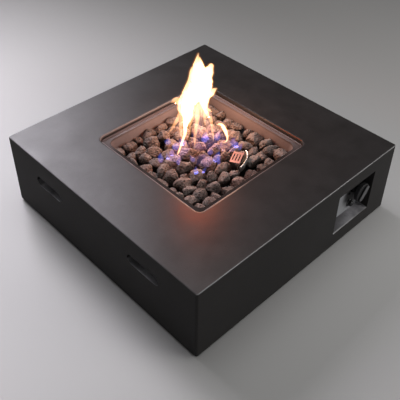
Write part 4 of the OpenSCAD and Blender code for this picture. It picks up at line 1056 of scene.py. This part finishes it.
# %% The tall flame
body_tongues = [
    [(-41, -8, 269, 6), (-37, 0, 290, 12), (-38, 0, 315, 16), (-33, 0, 345, 17), (-22, 0, 380, 14),
     (-17, 0, 410, 12), (-14, 0, 438, 7), (-10.5, 0, 466, 0.6)],
    [(17, 0, 288, 2), (11, 0, 303, 5), (6, 0, 322, 8), (4, 0, 345, 16), (3, 0, 372, 19),
     (6, 0, 398, 18), (13, 0, 417, 12), (18, 0, 428, 7), (20, 0, 435, 5), (21, 0, 439, 0.8)],
    [(-18, 0, 326, 3), (-14, 0, 348, 13), (-8, 0, 385, 19), (-6, 0, 415, 16), (-7, 0, 438, 9),
     (-8, 0, 456, 1)],
    [(6, 0, 338, 5), (17, 0, 356, 9), (27, 0, 367, 5), (35, 0, 373, 0.6)],
    [(-44, 0, 298, 5), (-53, 0, 308, 6), (-56, 0, 320, 4), (-51, 0, 337, 6), (-46, 0, 356, 3)],
    [(-40, 0, 340, 5), (-45, 0, 353, 5), (-38, 0, 373, 5), (-31, 0, 394, 4), (-27, 0, 415, 4),
     (-26, 0, 430, 0.8)],
    [(10, 0, 314, 4), (17, 0, 310, 3), (24, 0, 304, 0.6)],
]
thin_tongues = [
    [(-64, -30, 187, 0.8), (-58, -27, 200, 2.2), (-50, -21, 224, 3.0), (-43, -15, 247, 4.2),
     (-41, -8, 270, 6.5), (-38, 0, 292, 9)],
    [(37, 0, 265, 1.0), (43, 0, 268, 2.6), (50, 0, 265, 4.2), (56, 0, 254, 4.6), (61, 0, 241, 4.0),
     (64.5, 0, 228, 2.8), (64, 0, 217, 1.8), (58, 0, 211, 1.2), (51, 0, 212, 0.5)],
]
soft_tongues = [
    [(-87, -10, 240, 0.5), (-77, -5, 252, 2.4), (-66, 0, 270, 3.6), (-57, 0, 288, 4.6),
     (-51, 0, 304, 5)],
    [(-17, -6, 192, 0.5), (-18, -3, 214, 2.2), (-17, 0, 236, 3.2), (-14, 0, 258, 3.6),
     (-12, 0, 278, 4), (-12, 0, 304, 6), (-13, 0, 330, 7)],
    [(30, 4, 212, 0.5), (29, 2, 228, 1.8), (26, 0, 250, 2.6), (24, 0, 271, 3.2), (19, 0, 291, 4)],
    [(-3, 0, 290, 1.5), (-2, 0, 312, 5), (-2, 0, 338, 8)],
    [(-26, 0, 268, 1.5), (-24, 0, 300, 5), (-22, 0, 334, 8)],
    [(-50, 0, 320, 3), (-59, 0, 334, 7), (-67, 0, 336, 5.6), (-77, 0, 329, 0.5)],
    [(-46, -16, 226, 1), (-52, -10, 246, 3), (-53, -4, 268, 4), (-49, 0, 292, 5)],
    [(-30, -6, 236, 0.8), (-31, -3, 258, 3), (-30, 0, 282, 5)],
    [(8, 0, 262, 0.8), (7, 0, 284, 3), (7, 0, 306, 4.5)],
]
veil_tongues = [
    [(-14, 0, 236, 2), (-11, 0, 258, 9), (-8, 0, 288, 17), (-6, 0, 320, 22), (-5, 0, 345, 8)],
    [(14, 0, 238, 2), (15, 0, 262, 8), (13, 0, 295, 12), (8, 0, 325, 10)],
    [(-62, -6, 246, 3), (-58, 0, 270, 9), (-50, 0, 300, 8)],
]


def thicken(tongues, times, more):
    return [[(s, d, z, times * r + more) for s, d, z, r in knots] for knots in tongues]


wisps = thicken(soft_tongues, 1.35, 0.0)
wider = thicken(body_tongues + thin_tongues, 1.0, 3.0)
flame_piece("flame_veil", veil_tongues, glowing_gas("veil_gas", (1.0, 0.52, 0.42), 17.0))
flame_piece("flame_body", body_tongues, glowing_gas("hot_gas", (1.0, 0.62, 0.30), 240.0))
flame_piece("flame_strands", thin_tongues, glowing_gas("thin_gas", (1.0, 0.60, 0.30), 420.0))
flame_piece("flame_wisps", wisps, glowing_gas("soft_gas", (1.0, 0.46, 0.19), 105.0))
flame_piece("flame_halo", wider, glowing_gas("halo_gas", (1.0, 0.34, 0.08), 22.0))

# %% [markdown]
# ### The low flames
# Where gas first comes out between the stones it burns low and blue, with a violet haze above.
# Heights, widths and leans are drawn at random, as such small flames never stand alike.

# %% The low blue flames
draw = random.Random(21)
low_foot, haze_foot = 186, 182
low_places = ((-89, 20), (-78, -30), (-102, -55), (-84, -44), (-60, -62), (-19, -50), (36, -50),
              (44, -62), (77, 22), (97, 0), (88, 12), (-13, -100), (4, -94), (-48, 18), (6, 30),
              (40, 40), (20, -20), (-70, 0))
haze_places = ((-6, 6, 24, 92), (22, 8, 26, 84), (48, 10, 24, 66), (74, 8, 22, 44),
               (-50, -10, 24, 54), (8, -54, 26, 34), (-70, -40, 22, 36))
low_tongues, haze_tongues = [], []
for s, d in low_places:
    tall, wide, lean = draw.uniform(18, 38), draw.uniform(5, 11), draw.uniform(-12, 12)
    low_tongues.append([(s, d, low_foot, wide * 0.5),
                        (s + lean * 0.3, d, low_foot + tall * 0.4, wide),
                        (s + lean, d, low_foot + tall, 0.6)])
for s, d, r, tall in haze_places:
    haze_tongues.append([(s, d, haze_foot, r * 0.7), (s, d, haze_foot + tall * 0.35, r),
                         (s, d, haze_foot + tall * 0.75, r * 0.6), (s, d, haze_foot + tall, 1.0)])
flame_piece("flame_low", low_tongues, glowing_gas("blue_gas", (0.13, 0.19, 1.0), 21.0))
flame_piece("flame_haze", haze_tongues, glowing_gas("haze_gas", (0.50, 0.36, 0.95), 2.5))

# %% [markdown]
# ### Light of the fire
# The fire lights the stones, the guard and the rim of the pan. Two warm round lamps inside the
# tongues, a paler one low and a redder one high, throw that light with less noise than the glowing
# gas would.


# %% Light of the fire
def fire_lamp(name, place, watts, colour, radius):
    data = bpy.data.lights.new(name, "POINT")
    data.energy = watts
    data.color = colour
    data.shadow_soft_size = radius
    add_object(name, data).location = place
    print(name, "gives", watts, "W")


fire_lamp("fire_light_low", place=(0.052, 0.036, 0.272), watts=1.5, colour=(1.0, 0.57, 0.37),
          radius=0.045)
fire_lamp("fire_light_high", place=(-0.006, 0.006, 0.42), watts=1.15, colour=(1.0, 0.15, 0.03),
          radius=0.04)

# %% [markdown]
# ## Last update
# The view layer is brought up to date at the end of the scene.

# %% Last update
bpy.context.view_layer.update()
